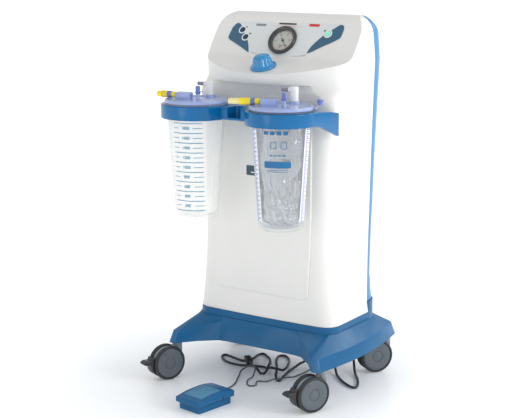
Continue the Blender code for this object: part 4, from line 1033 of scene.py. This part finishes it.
def build_gauge(paint):
    place = joint_frame("needle_swing")
    case = [(0, -0.0240), (GAUGE_R, -0.0240), (GAUGE_R, 0.0013), (0.0352, 0.0013), (0.0352, 0.0050, 0.001),
            (0.0338, 0.0080, 0.002), (0.0312, 0.0085, 0.001), (0.0268, 0.0045, 0.001), (0.0266, -0.0010),
            (0, -0.0010)]
    piece("gauge_bezel", moved(turned(case, 0.0004, 96), place), paint["bezel"], ROOT, ["gauge_case"])
    dial = [(0, -0.0008), (0.0264, -0.0008), (0.0264, 0.0002), (0, 0.0002)]
    piece("gauge_face", moved(lathe(dial, 96), place), paint["dial"], ROOT, ["gauge_dial"])
    ticks = []
    for number in range(51):
        angle = math.radians(-52 + 284 - 284 * number / 50 - 90 + 38)
        long = number % 10 == 0
        middle = number % 5 == 0
        length = 0.0042 if long else 0.0030 if middle else 0.0018
        width = 0.0007 if long else 0.0004
        tick = prism([(-length, -width / 2), (0, -width / 2), (0, width / 2), (-length, width / 2)], 0.0001,
                     0.0004)
        ticks.append(moved(tick, Matrix.Rotation(angle, 4, "Z") @ Matrix.Translation((0.0248, 0, 0))))
    for number in range(6):
        angle = math.radians(180 - 52 - 56.8 * number + 52)
        words = text_body(str(20 * number), 0.0050)
        ticks.append(shifted(words, 0.0168 * math.cos(angle), 0.0168 * math.sin(angle), 0.0004))
    ticks.append(prism(arc_band(0.0252, 0.0255, -90, 268), 0.0001, 0.0004))
    piece("gauge_scale", moved(joined(*ticks), place), paint["print_dark"], ROOT)
    red = prism(arc_band(0.0120, 0.0134, 236, 304), 0.0001, 0.0004)
    piece("gauge_red_zone", moved(red, place), paint["print_red"], ROOT)
    needle = joined(
        turned([(0, 0.0010), (0.0030, 0.0010), (0.0030, 0.0024), (0, 0.0030)], 0.0005, 32),
        prism([(-0.0010, -0.0085), (0.0010, -0.0085), (0.0006, 0.0), (0.0003, 0.0215), (-0.0003, 0.0215),
               (-0.0005, 0.0)], 0.0013, 0.0019),
    )
    swing = place @ Matrix.Rotation(math.radians(-142), 4, "Z")
    piece("gauge_pointer", moved(needle, swing), paint["print_dark"], "gauge_needle", ["gauge_needle"])
    lens = turned([(0, 0.0048), (0.0270, 0.0048), (0.0274, 0.0056), (0.012, 0.0064, 0.008), (0, 0.0066)],
                  0.0004, 96)
    piece("gauge_glass", moved(lens, place), paint["lens"], ROOT, ["gauge_lens"])
    note = arc_band(0.0372, 0.0377, 212, 300)
    print_mark("gauge_arc_note", note, paint["print_grey"], place)


def build_knob(paint):
    """Fluted bell with a round flange."""
    place = joint_frame("regulator_turn")

    def flutes(angle, r, z):
        depth = 0.0022 * smoothstep(z, 0.004, 0.009) * (1 - smoothstep(z, 0.0265, 0.0295))
        return r - depth * abs(math.sin(6 * angle)) ** 3 if r > 0.005 else r

    profile = [(0.0026, 0.0010), (0.0290, 0.0010), (0.0292, 0.0038, 0.0010), (0.0240, 0.0062, 0.003),
               (0.0222, 0.0110, 0.004), (0.0205, 0.0180, 0.006), (0.0180, 0.0255, 0.005),
               (0.0105, 0.0292, 0.005),
               (0, 0.0298)]
    knob = lathe(fillet(profile, 0.0006, closed=False, steps=6), 144, ripple=flutes)
    piece("vacuum_knob", moved(knob, place), paint["knob"], "regulator", ["regulator_knob"])


# ---- Jars, lids and bracket ----------------------------------------------------------
def jar_radius(z):
    share = (z - JAR_BOTTOM_Z) / (RING_LOW_Z - JAR_BOTTOM_Z)
    return 0.048 + 0.015 * share


def jar_axis(side):
    return Vector((SIDES[side] * JAR_X, JAR_Y, 0))


def jar_profile():
    wall = 0.0025
    low = JAR_BOTTOM_Z
    outer = [(0, low + 0.0025), (0.030, low + 0.002), (0.034, low), (0.0445, low, 0.003),
             (0.0478, low + 0.004, 0.003)]
    outer += [(jar_radius(low + 0.012), low + 0.012), (0.0640, RING_LOW_Z + 0.01), (0.0650, RING_TOP_Z + GAP),
              (0.0710, RING_TOP_Z + GAP, 0.0008), (0.0710, 0.6547, 0.0008), (0.0640, 0.6547),
              (0.0640, 0.6560),
              (0.0613, 0.6560)]
    inner = [(0.0640 - wall, RING_LOW_Z + 0.01), (jar_radius(low + 0.012) - wall, low + 0.012, 0.004),
             (0.040, low + 0.006, 0.003), (0, low + 0.0055)]
    return outer + inner


def wrapped(bm, side, angle, z, out=0.0002):
    """Bends a flat drawing (x across, y up, z out) round a jar's wall at an angle and a height."""
    axis = jar_axis(side)
    for vert in bm.verts:
        across, up, depth = vert.co
        height = z + up
        radius = jar_radius(height) + out + depth
        turn = angle + across / jar_radius(height)
        vert.co = axis + Vector((radius * math.cos(turn), radius * math.sin(turn), height))
    return bm


def strip(x0, x1, y, height, segments=8):
    """A thin upright band drawn flat, with enough points to bend."""
    xs = [x0 + (x1 - x0) * i / segments for i in range(segments + 1)]
    return loft([[(x, y - height / 2, 0), (x, y + height / 2, 0), (x, y + height / 2, 0.0002),
                  (x, y - height / 2, 0.0002)] for x in xs])


def build_left_scale(paint):
    """Fill scale of the left jar, 200 to 2000."""
    angle = math.radians(-72)
    first, step = 0.4320, 0.02154
    marks = []
    for number in range(18):
        z = (number + 1) * step / 2
        if number % 2:
            marks.append(strip(-0.034, -0.020, z, 0.0013))
            marks.append(strip(0.012, 0.034, z, 0.0013))
            words = text_body(str(100 * (number + 1)), 0.0092, 0.00025)
            marks.append(shifted(words, -0.004, z, 0.0002))
        else:
            marks.append(strip(-0.034, 0.034, z, 0.0016))
    marks.append(strip(-0.034, 0.034, 9.5 * step, 0.0016))
    drawing = joined(*marks)
    piece("jar_scale_left", wrapped(drawing, "left", angle, first - step), paint["print_blue"], "jar_left")


def build_right_marks(paint):
    """White side strips with fine ticks, and plain printed blocks, on the right jar."""
    facing = math.radians(-57.4)
    low, high = JAR_BOTTOM_Z + 0.020, RING_LOW_Z - 0.004
    count = 42
    for label, offset in (("near", math.radians(-66)), ("far", math.radians(64))):
        band = joined(*[strip(-0.011, 0.011, low + (high - low) * (i + 0.5) / 20, (high - low) / 20, 4)
                        for i in range(20)])
        piece(f"jar_strip_{label}", wrapped(band, "right", facing + offset, 0.0), paint["print_white"],
              "jar_right")
        ticks = []
        for number in range(count):
            z = low + (high - low) * (number + 0.5) / count
            width = 0.0150 if number % 2 else 0.0080
            ticks.append(strip(-0.0075, -0.0075 + width, z, 0.0020, 3))
        piece(f"jar_ticks_{label}", wrapped(joined(*ticks), "right", facing + offset, 0.0, 0.0005),
              paint["print_violet"], "jar_right")
    centre = facing - math.radians(8)
    block = joined(*[strip(-0.029 + inset, 0.029 - inset, 0.0068 - y, 0.0004, 12)
                     for y, inset in [(0.0136 * i / 34, 0.0022 * max(0.0, abs(2 * i / 34 - 1) - 0.8) / 0.2)
                                      for i in range(35)]])
    piece("jar_block_right", wrapped(block, "right", centre, 0.5450), paint["print_deep"], "jar_right")
    rows = []
    for x in (-0.024, -0.010, 0.004, 0.018):
        rows.append(strip(x - 0.005, x + 0.005, 0.6120, 0.0075, 4))
    for x0, x1, z in ((-0.014, -0.002, 0.586), (0.008, 0.020, 0.586)):
        for edge in (-0.0065, 0.0065):
            rows.append(strip(x0, x1, z + edge, 0.0012, 3))
        for x in (x0, x1):
            rows.append(strip(x - 0.0006, x + 0.0006, z, 0.0130, 1))
    for x in (-0.013, -0.004, 0.005, 0.014):
        rows.append(strip(x - 0.0034, x + 0.0034, 0.5646, 0.0026, 2))
    for z in (0.5336, 0.5300):
        rows.append(strip(-0.023, 0.022, z, 0.0010, 10))
    piece("jar_plain_marks_right", wrapped(joined(*rows), "right", centre, 0.0), paint["print_deep"],
          "jar_right")


def ridge(spot):
    """Sharp creases with soft ground between them, 0 to 1."""
    return 1 - min(abs(noise.noise(spot)) * 3.0, 1.0)


def liner(side):
    """Bag hung under the lid: a film pulled into folds, crumpled towards the foot on the right."""
    low = JAR_BOTTOM_Z + 0.0125
    top = 0.6455
    depth = 0.0060 if side == "right" else 0.0012
    rings = []
    steps, count = 150, 130
    for row in range(count + 1):
        share = row / count
        z = low + (top - low) * share
        wall = min(jar_radius(z), 0.0605) - 0.0030
        radius = min(wall, 0.0395 + (z - low) * 1.1) if z < low + 0.014 else wall
        ring = []
        for k in range(steps):
            angle = 2 * math.pi * k / steps
            around = Vector((math.cos(angle), math.sin(angle), 0))
            pleats = ridge(around * 3.2 + Vector((SIDES[side], 0, z * 5)))
            creases = ridge(around * 4.5 + Vector((z * 6, SIDES[side] * 3, z * 34)))
            lumps = max(noise.noise(around * 1.6 + Vector((0, 0, z * 16))), 0.0)
            crumpled = 1 - smoothstep(share, 0.15, 0.60)
            inward = depth * (0.5 * pleats * (0.5 + share) + (0.35 + 0.9 * crumpled) * creases + 2.2 * lumps * crumpled)
            inward *= 1 - smoothstep(z, top - 0.012, top)
            ring.append((radius - inward) * around + Vector((0, 0, z)))
        rings.append(ring)
    bm = loft(rings, closed_ends=False)
    floor = [vert for vert in bm.verts if abs(vert.co.z - low) < 1e-6]
    centre = bm.verts.new((0, 0, low))
    ordered = sorted(floor, key=lambda vert: math.atan2(vert.co.y, vert.co.x))
    for a, b in zip(ordered, ordered[1:] + ordered[:1]):
        bm.faces.new((a, b, centre))
    return bm


def lid_disc():
    profile = [(0, 0.6575), (0.0570, 0.6575), (0.0570, 0.6460), (0.0608, 0.6460), (0.0608, 0.6565),
               (0.0645, 0.6565), (0.0645, 0.6551), (0.0690, 0.6551, 0.0008), (0.0690, 0.6592, 0.0010),
               (0.0676, 0.6597, 0.0005), (0.0672, 0.6614, 0.0008), (0.0662, LID_TOP_Z, 0.0006),
               (0.0610, LID_TOP_Z, 0.0006),
               (0.0600, 0.6604, 0.0006), (0.0560, 0.6604, 0.0004), (0.0555, 0.6609, 0.0003), (0, 0.6609)]
    return lathe(fillet(profile, 0.0003, closed=False, steps=3), 120)


def build_lid(side, paint):
    axis = jar_axis(side)
    at = Matrix.Translation(axis)
    turn = CONNECTOR_TURN[side]
    body = f"lid_{side}"
    drum = rounded_block(0.038, 0.024, 0.6590, 0.6760, 0.0085, 0.0020)
    drum = moved(drum, Matrix.Translation((*DRUM_AT, 0)) @ Matrix.Rotation(turn, 4, "Z"))
    post = shifted(turned([(0, 0.659), (0.0052, 0.659), (0.0050, 0.6640), (0.0042, 0.6660), (0.0042, 0.6742),
                           (0, 0.6742)], 0.0006, 32), *POST_AT, 0)
    socket = shifted(turned([(0, 0.659), (0.0122, 0.659), (0.0116, 0.6652), (0, 0.6652)], 0.0008, 48),
                     *ELBOW_AT, 0)
    tab = rounded_block(0.018, 0.013, 0.6560, 0.6585, 0.005, 0.0008)
    tab = moved(tab, Matrix.Rotation(math.radians(25), 4, "Z") @ Matrix.Translation((0.066, 0, 0)))
    whole = joined(lid_disc(), drum, post, socket, tab)
    piece(f"lid_cover_{side}", moved(whole, at), paint["lid"], body, [f"lid_{side}"])
    build_connector(side, axis, turn, paint)

    cap = turned([(0, 0.6744), (0.0060, 0.6744), (0.0060, 0.6782, 0.0008), (0.0050, 0.6790, 0.0006),
                  (0.0050, 0.6900),
                  (0.0040, 0.6912), (0, 0.6912)], 0.0006, 40)
    piece(f"port_cap_cover_{side}", moved(cap, at @ Matrix.Translation((*POST_AT, 0))), paint["lid_dark"],
          f"port_cap_{side}", [f"port_cap_{side}"])
    build_tether(side, axis, paint)
    build_elbow(side, axis, paint)


def build_connector(side, axis, turn, paint):
    """Stepped patient connector: yellow sleeve, violet ring, yellow body, tip."""
    length = CONNECTOR_LENGTH[side]
    away = Vector((math.cos(turn), math.sin(turn), 0))
    start = Vector((axis.x + DRUM_AT[0], axis.y + DRUM_AT[1], CONNECTOR_Z)) + (0.019 + GAP) * away
    place = frame_matrix(start, away, (0, 0, 1))
    body = f"lid_{side}"
    if side == "right":
        bands = [("sleeve", 0.0, 0.0110, 0.0064, 0.0064, "yellow"),
                 ("ring", 0.0110, 0.0200, 0.0074, 0.0074, "lid_dark"),
                 ("grip", 0.0200, 0.0440, 0.0074, 0.0072, "yellow"),
                 ("tip", 0.0440, length, 0.0070, 0.0060, "pale_yellow")]
    else:
        bands = [("sleeve", 0.0, 0.0110, 0.0064, 0.0064, "yellow"),
                 ("ring", 0.0110, 0.0210, 0.0074, 0.0074, "lid_dark"),
                 ("grip", 0.0210, length, 0.0072, 0.0062, "yellow")]
    for number, (label, low, high, r0, r1, colour) in enumerate(bands):
        profile = [(0.0030, low), (r0, low), (r1, high), (0.0030, high)]
        band = lathe(fillet(profile, 0.0007, steps=3), 40, closed=True)
        replaced = [f"patient_connector_{side}"] if number == 0 else []
        piece(f"connector_{label}_{side}", moved(band, place), paint[colour], body, replaced)
        if label == "grip":
            ribs = [shifted(ring_solid(r0 - 0.0004, r0 + 0.0004, -0.0005, 0.0005, 32), 0, 0,
                            low + 0.004 + 0.003 * n)
                    for n in range(4)]
            piece(f"connector_ribs_{side}", moved(joined(*ribs), place), paint[colour], body)


def build_tether(side, axis, paint):
    """Thin strap from the port cap to the lid's rim."""
    post = axis + Vector((*POST_AT, 0))
    neck = post + Vector((0.0052, 0, 0.6800))
    knots = [neck, post + Vector((0.0160, -0.002, 0.6795)), post + Vector((0.0245, -0.006, 0.6730)),
             post + Vector((0.0225, -0.010, 0.6650)), post + Vector((0.0150, -0.013, 0.6618))]
    strap = piece(f"tether_{side}", tube(smooth_path(knots, 10), 0.0007, 10), paint["tether"], None)
    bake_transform(strap)


def build_elbow(side, axis, paint):
    at = axis + Vector((*ELBOW_AT, 0))
    top = ELBOW_Z + 0.0078
    leg = turned([(0, 0.6655), (0.0092, 0.6655), (0.0092, 0.6690, 0.0004), (0.0088, 0.6695, 0.0004),
                  (0.0088, top, 0.0020),
                  (0, top)], 0.0008, 48)
    arm = turned([(0, 0), (0.0062, 0), (0.0062, 0.0132), (0, 0.0132)], 0.0010, 40)
    sideways = Matrix.Translation((0, 0, ELBOW_Z)) @ Matrix.Rotation(math.radians(-90), 4, "Y")
    whole = joined(leg, moved(arm, sideways))
    body = f"lid_{side}"
    piece(f"elbow_{side}", shifted(whole, at.x, at.y, 0), paint["elbow"], body, [f"vacuum_elbow_{side}"])
    barb = [(0.0022, 0.0133), (0.0048, 0.0133), (0.0048, 0.0175), (0.0036, 0.0182), (0.0047, 0.0225),
            (0.0036, 0.0232),
            (0.0042, 0.0310), (0.0022, 0.0310)]
    tip = lathe(fillet(barb, 0.0004, steps=2), 40, closed=True)
    place = Matrix.Translation((at.x, at.y, 0)) @ sideways
    piece(f"elbow_barb_{side}", moved(tip, place), paint["print_grey"], body, [f"hose_barb_{side}"])


def build_spare_cap(paint):
    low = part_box("spare_cap_right")[0]
    centre = node_centre("spare_cap_right")
    place = Matrix.Translation((centre.x, centre.y, low.z + 0.0005)) @ Matrix.Rotation(math.radians(14), 4,
                                                                                       "Y")

    def ribs(angle, r, z):
        return r - 0.0003 * (0.5 + 0.5 * math.cos(16 * angle)) if 0.005 < z < 0.012 and r > 0.006 else r

    profile = [(0, 0.0), (0.0028, 0.0), (0.0028, 0.0032), (0.0066, 0.0042, 0.0006),
               (0.0068, 0.0120, 0.0010), (0, 0.0126)]
    cap = lathe(fillet(profile, 0.0005, closed=False, steps=4), 96, ripple=ribs)
    piece("spare_cap_cover", moved(cap, place), paint["lid_dark"], "lid_right", ["spare_cap_right"])
    foot = Vector((centre.x, centre.y, low.z + 0.001))
    rim = jar_axis("right") + Vector((0.0640, 0.0180, 0.6600))
    knots = [foot, (foot + rim) / 2 + Vector((0.004, -0.004, -0.002)), rim]
    piece("spare_cap_strap", tube(smooth_path(knots, 8), 0.0009, 10), paint["tether"], "lid_right")


def build_jars(paint):
    for side in SIDES:
        at = Matrix.Translation(jar_axis(side))
        profile = fillet(jar_profile(), 0.001, closed=False, steps=3)
        piece(f"jar_wall_{side}", moved(lathe(profile, 120), at), paint[f"jar_{side}"], f"jar_{side}",
              [f"jar_{side}"])
        piece(f"liner_bag_{side}", moved(liner(side), at), paint[f"liner_{side}"], f"lid_{side}",
              [f"liner_{side}"], crease=80)
        build_lid(side, paint)
    build_left_scale(paint)
    build_right_marks(paint)
    build_spare_cap(paint)
    drum = jar_axis("right") + Vector((*DRUM_AT, 0.6798))
    sleeve = [(0.0024, 0), (0.0036, 0), (0.0036, 0.024), (0.0024, 0.024)]
    spout = lathe(fillet(sleeve, 0.0004, steps=2), 32, closed=True)
    place = frame_matrix(drum + Vector((-0.012, 0.004, 0)), (0.90, 0.42, 0), (0, 0, 1))
    piece("clear_spout_right", moved(spout, place), paint["jar_right"], "lid_right")


def build_bracket(paint):
    discs = []
    for sign in SIDES.values():
        profile = [(0, RING_LOW_Z), (RING_R, RING_LOW_Z, 0.0016), (RING_R, RING_TOP_Z, 0.0022),
                   (0, RING_TOP_Z)]
        discs.append(shifted(lathe(fillet(profile, 0, closed=False, steps=5), 120), sign * JAR_X, JAR_Y, 0))
    web = soften(box((-0.045, -0.200, RING_LOW_Z + 0.0012), (0.045, FRONT_Y - 0.0033, RING_TOP_Z - 0.0013)),
                 0.002)
    recess = rounded_block(0.034, 0.060, RING_LOW_Z + 0.006, RING_TOP_Z + 0.01, 0.006, 0.0005)
    web = boolean(web, [shifted(recess, 0.0, -0.198, 0)])
    bracket = boolean(discs[0], [discs[1], web, arm_body(-1), arm_body(1)], "UNION")
    bores = []
    for sign in SIDES.values():
        flare = 0.0014
        profile = [(0, 0.60), (RING_BORE + flare, 0.60), (RING_BORE + flare, RING_LOW_Z, 0),
                   (RING_BORE, RING_LOW_Z + flare),
                   (RING_BORE, RING_TOP_Z - flare), (RING_BORE + flare, RING_TOP_Z, 0),
                   (RING_BORE + flare, 0.70), (0, 0.70)]
        bores.append(shifted(lathe([p[:2] for p in profile], 120), sign * JAR_X, JAR_Y, 0))
    piece("jar_bracket_moulding", boolean(bracket, bores), paint["bracket"], ROOT, ["jar_bracket"], crease=28)


def arm_body(sign):
    """Side arm: level with the ring in front, deeper where it meets the body."""
    knots = [(-0.188, 0.1790, RING_LOW_Z + 0.0006), (-0.150, 0.1795, RING_LOW_Z - 0.005),
             (-0.115, 0.1800, RING_LOW_Z - 0.018), (-0.080, 0.1800, 0.590)]
    tops = [(-0.188, 0.1878, RING_TOP_Z - 0.0007), (-0.150, 0.1895, RING_TOP_Z - 0.0030),
            (-0.115, 0.1905, RING_TOP_Z - 0.0060), (-0.080, 0.1900, 0.640)]
    rings = []
    for low, high in zip(smooth_path(knots, 8), smooth_path(tops, 8)):
        y, inner, bottom = low
        _, outer, top = high
        rings.append([(sign * inner, y, bottom), (sign * outer, y, bottom), (sign * outer, y, top),
                      (sign * inner, y, top)])
    return soften(loft(rings), 0.0012, 2, 50)


# ---- Foot switch and cords -----------------------------------------------------------
def build_footswitch(paint):
    pin = joint_place("footswitch_press")
    place = frame_matrix(pin, (0, 0, 1), JOINTS["footswitch_press"]["axis"])
    base = rounded_block(0.064, 0.100, -pin.z, 0.0140 - pin.z, 0.006, 0.0012)
    base = shifted(base, 0, -0.020, 0)
    lugs = [shifted(rounded_block(0.006, 0.012, -0.0105, 0.0040, 0.002, 0.0008), sign * 0.024, 0, 0)
            for sign in SIDES.values()]
    piece("footswitch_body", moved(joined(base, *lugs), place), paint["blue"], ROOT, ["footswitch_base"])

    def tread(half_y, drop=0.0):
        line = smooth_path([(-half_y, 0.0275, 0), (-0.020, 0.0330, 0), (0.022, 0.0345, 0),
                            (half_y, 0.0300, 0)], 6)
        return [(point.x - 0.020, point.y - pin.z - drop) for point in line]

    edge_z = 0.0155 - pin.z
    skin = [(-0.076, edge_z), *tread(0.056), (0.036, edge_z)]
    hollow = [(-0.0738, edge_z - 0.01), *tread(0.0538, 0.0022), (0.0338, edge_z - 0.01)]
    shell = soften(prism(skin, -0.036, 0.036, "x"), 0.0026, 4, 40)
    shell = boolean(shell, [prism(hollow, -0.0338, 0.0338, "x")])
    piece("footswitch_tread", moved(shell, place), paint["blue"], "footswitch_pedal", ["footswitch_pedal"],
          crease=40)
    line = tread(0.056, -0.0005)
    top = [point for point in line if -0.062 < point[0] < 0.006]
    pad = prism(top + [(y, z - 0.0012) for y, z in reversed(top)], -0.027, 0.027, "x")
    piece("footswitch_pad", moved(soften(pad, 0.0003, 2, 60), place), paint["pad"], "footswitch_pedal")
    for side, sign in SIDES.items():
        head = turned([(0, 0.0352), (0.0026, 0.0352), (0.0026, 0.0366), (0, 0.0368)], 0.0004, 24)
        out = Matrix.Rotation(math.radians(90 * sign), 4, "Y")
        piece(f"footswitch_pin_head_{side}", moved(head, place @ out), paint["dark"], ROOT)


def lay_down(path, radius, under=(), spacing=0.006):
    """Lays a path on the floor and lifts it over the strands it crosses.

    Returns (point, distance along the path, radius) for each point.
    """
    laid = []
    along = 0.0
    for i, point in enumerate(path):
        along += (point - path[i - 1]).length if i else 0.0
        height = max(point.z, radius + 0.0002)
        crossed = [entry for entry in laid if along - entry[1] > 0.045] + list(under)
        for other, _, girth in crossed:
            apart = math.hypot(point.x - other.x, point.y - other.y)
            beside = max(apart - girth - radius - spacing, 0.0)
            height = max(height, min(other.z, 0.03) + girth + radius + 0.0004 - 0.5 * beside)
        laid.append((Vector((point.x, point.y, height)), along, radius))
    return laid


def power_knots():
    """From the rear of the base to the floor, clear of the right castor, then loops under the base."""
    drop = [(0.070, 0.1405, 0.168), (0.070, 0.170, 0.160), (0.072, 0.197, 0.100), (0.082, 0.202, 0.025)]
    right = [
        (0.101, 0.199), (0.109, 0.186), (0.109, 0.160), (0.107, 0.136), (0.104, 0.111), (0.097, 0.078),
        (0.139, 0.027), (0.183, -0.004), (0.198, 0.000), (0.179, 0.040), (0.146, 0.084), (0.112, 0.128),
        (0.070, 0.128),
    ]
    middle = [
        (0.018, 0.080), (0.008, 0.033), (0.017, -0.019), (0.027, -0.060), (0.008, -0.045), (-0.025, 0.011),
        (-0.058, 0.060), (-0.070, 0.092), (-0.056, 0.100), (-0.030, 0.074), (-0.004, 0.025), (0.004, -0.008),
        (-0.024, -0.008), (-0.057, 0.001), (-0.086, -0.007), (-0.116, -0.019), (-0.153, -0.014),
        (-0.183, 0.008), (-0.186, 0.028), (-0.156, 0.020), (-0.122, 0.014), (-0.113, 0.040), (-0.118, 0.070),
        (-0.110, 0.085), (-0.078, 0.058), (-0.046, 0.014), (-0.026, -0.032), (-0.037, -0.048),
        (-0.072, -0.020), (-0.098, 0.004),
    ]
    return drop + [(x, y, 0.0032) for x, y in right + middle]


def switch_knots():
    """From the foot switch along the floor, with one small loop, and up into the base."""
    floor = [
        (-0.045, -0.190), (-0.046, -0.140), (-0.070, -0.085), (-0.080, -0.056), (-0.066, -0.043),
        (-0.045, -0.052), (-0.034, -0.080), (-0.033, -0.104), (-0.015, -0.124), (-0.003, -0.115),
        (-0.012, -0.092), (0.006, -0.078), (0.030, -0.060), (0.040, -0.020), (0.045, 0.030),
    ]
    rise = [(0.052, 0.066, 0.014), (0.054, 0.080, 0.060), (0.054, 0.084, 0.109)]
    return [(-0.0365, -0.2210, 0.0080)] + [(x, y, 0.0022) for x, y in floor] + rise


def build_cords(paint):
    lead = lay_down(smooth_path(power_knots(), 9), 0.0030)
    path = [entry[0] for entry in lead]
    away = path[-1] - path[-2]
    end = path[-1] + 0.016 * away.normalized()
    place = frame_matrix((end.x, end.y, 0.0074), (0, 0, 1), (away.x, away.y, 0))
    plug = moved(rounded_block(0.034, 0.016, -0.007, 0.007, 0.005, 0.002), place)
    piece("power_lead", joined(tube(path, 0.0030, 14), plug), paint["cord"], ROOT, ["power_cord"], crease=60)

    switch = lay_down(smooth_path(switch_knots(), 9), 0.0018, lead)
    cord = tube([entry[0] for entry in switch], 0.0018, 12)
    piece("footswitch_lead", cord, paint["thin_cord"], ROOT, ["footswitch_cord"], crease=60)


def dress_inside(paint):
    """Materials of the CAD nodes that stay as they are."""
    kept = {
        "chassis_plate": "steel", "control_board": "board", "regulator_body": "aluminium",
        "regulator_spindle": "steel", "pump_body": "aluminium", "pump_head_left": "aluminium",
        "pump_head_right": "aluminium", "cooling_fan": "dark", "main_hose": "cord", "footswitch_pin": "steel",
    }
    for corner in CORNERS:
        kept[f"castor_axle_{corner}"] = "steel"
    for node, colour in kept.items():
        obj = frame["nodes"][node]
        obj.data.materials.clear()
        obj.data.materials.append(paint[colour])
        obj.data.set_sharp_from_angle(angle=math.radians(35))


# ---- Studio --------------------------------------------------------------------------
def build_studio():
    floor = bpy.data.meshes.new("studio_floor")
    rim = [(60 * math.cos(math.radians(10 * k)), 60 * math.sin(math.radians(10 * k)), 0) for k in range(36)]
    floor.from_pydata(rim, [], [list(range(36))])
    obj = bpy.data.objects.new("studio_floor", floor)
    bpy.context.scene.collection.objects.link(obj)
    material, tree, place = new_tree("studio_paper")
    shader = tree.nodes["Principled BSDF"]
    shader.inputs["Base Color"].default_value = (0.90, 0.91, 0.92, 1)
    tree.links.new(cloud(tree, place, 0.5, 0.28, 0.36), shader.inputs["Roughness"])
    away = shader_node(tree, "VectorMath", {"operation": "LENGTH"}, Vector=place)
    fade = shader_node(tree, "MapRange", Value=away.outputs["Value"], From_Min=0.15, From_Max=0.85,
                       To_Min=0.10,
                       To_Max=0.5)
    tree.links.new(fade.outputs["Result"], shader.inputs["Emission Strength"])
    shader.inputs["Emission Color"].default_value = (0.97, 0.985, 1.0, 1)
    floor.materials.append(material)

    world = bpy.data.worlds.new("studio")
    bpy.context.scene.world = world
    world.use_nodes = True
    background = world.node_tree.nodes["Background"]
    background.inputs["Color"].default_value = (0.97, 0.985, 1.0, 1)
    seen = shader_node(world.node_tree, "LightPath").outputs["Is Camera Ray"]
    strength = shader_node(world.node_tree, "MapRange", Value=seen, To_Min=0.73, To_Max=1.1)
    world.node_tree.links.new(strength.outputs["Result"], background.inputs["Strength"])
    aim = Vector((0, 0, 0.40))
    for name, spot, size, power in (
        ("key_light", (3.0, 0.3, 1.4), 1.4, 34),
        ("rim_light", (1.6, 2.2, 1.8), 1.2, 18),
        ("front_light", (-0.6, -3.2, 0.8), 1.6, 9),
    ):
        light = bpy.data.lights.new(name, "AREA")
        light.shape = "DISK"
        light.size = size
        light.energy = power
        lamp = bpy.data.objects.new(name, light)
        lamp.location = spot
        lamp.rotation_euler = (aim - Vector(spot)).to_track_quat("-Z", "Y").to_euler()
        bpy.context.scene.collection.objects.link(lamp)


def build_camera():
    camera = bpy.data.cameras.new("camera")
    camera.lens = 87.85
    camera.sensor_width = 36
    obj = bpy.data.objects.new("camera", camera)
    obj.location = SHIFT + Vector((1.547, -2.432, 0.996))
    obj.rotation_euler = (math.radians(90 - 11.77), 0, math.radians(33.46))
    bpy.context.scene.collection.objects.link(obj)
    bpy.context.scene.camera = obj


def main():
    paint = make_materials()
    build_covers(paint)
    build_base(paint)
    for corner in CORNERS:
        build_castor(corner, paint)
    build_console(paint)
    build_knob(paint)
    build_bracket(paint)
    build_jars(paint)
    build_footswitch(paint)
    build_cords(paint)
    dress_inside(paint)
    build_studio()
    build_camera()
    bpy.context.scene.view_settings.view_transform = "Standard"


main()
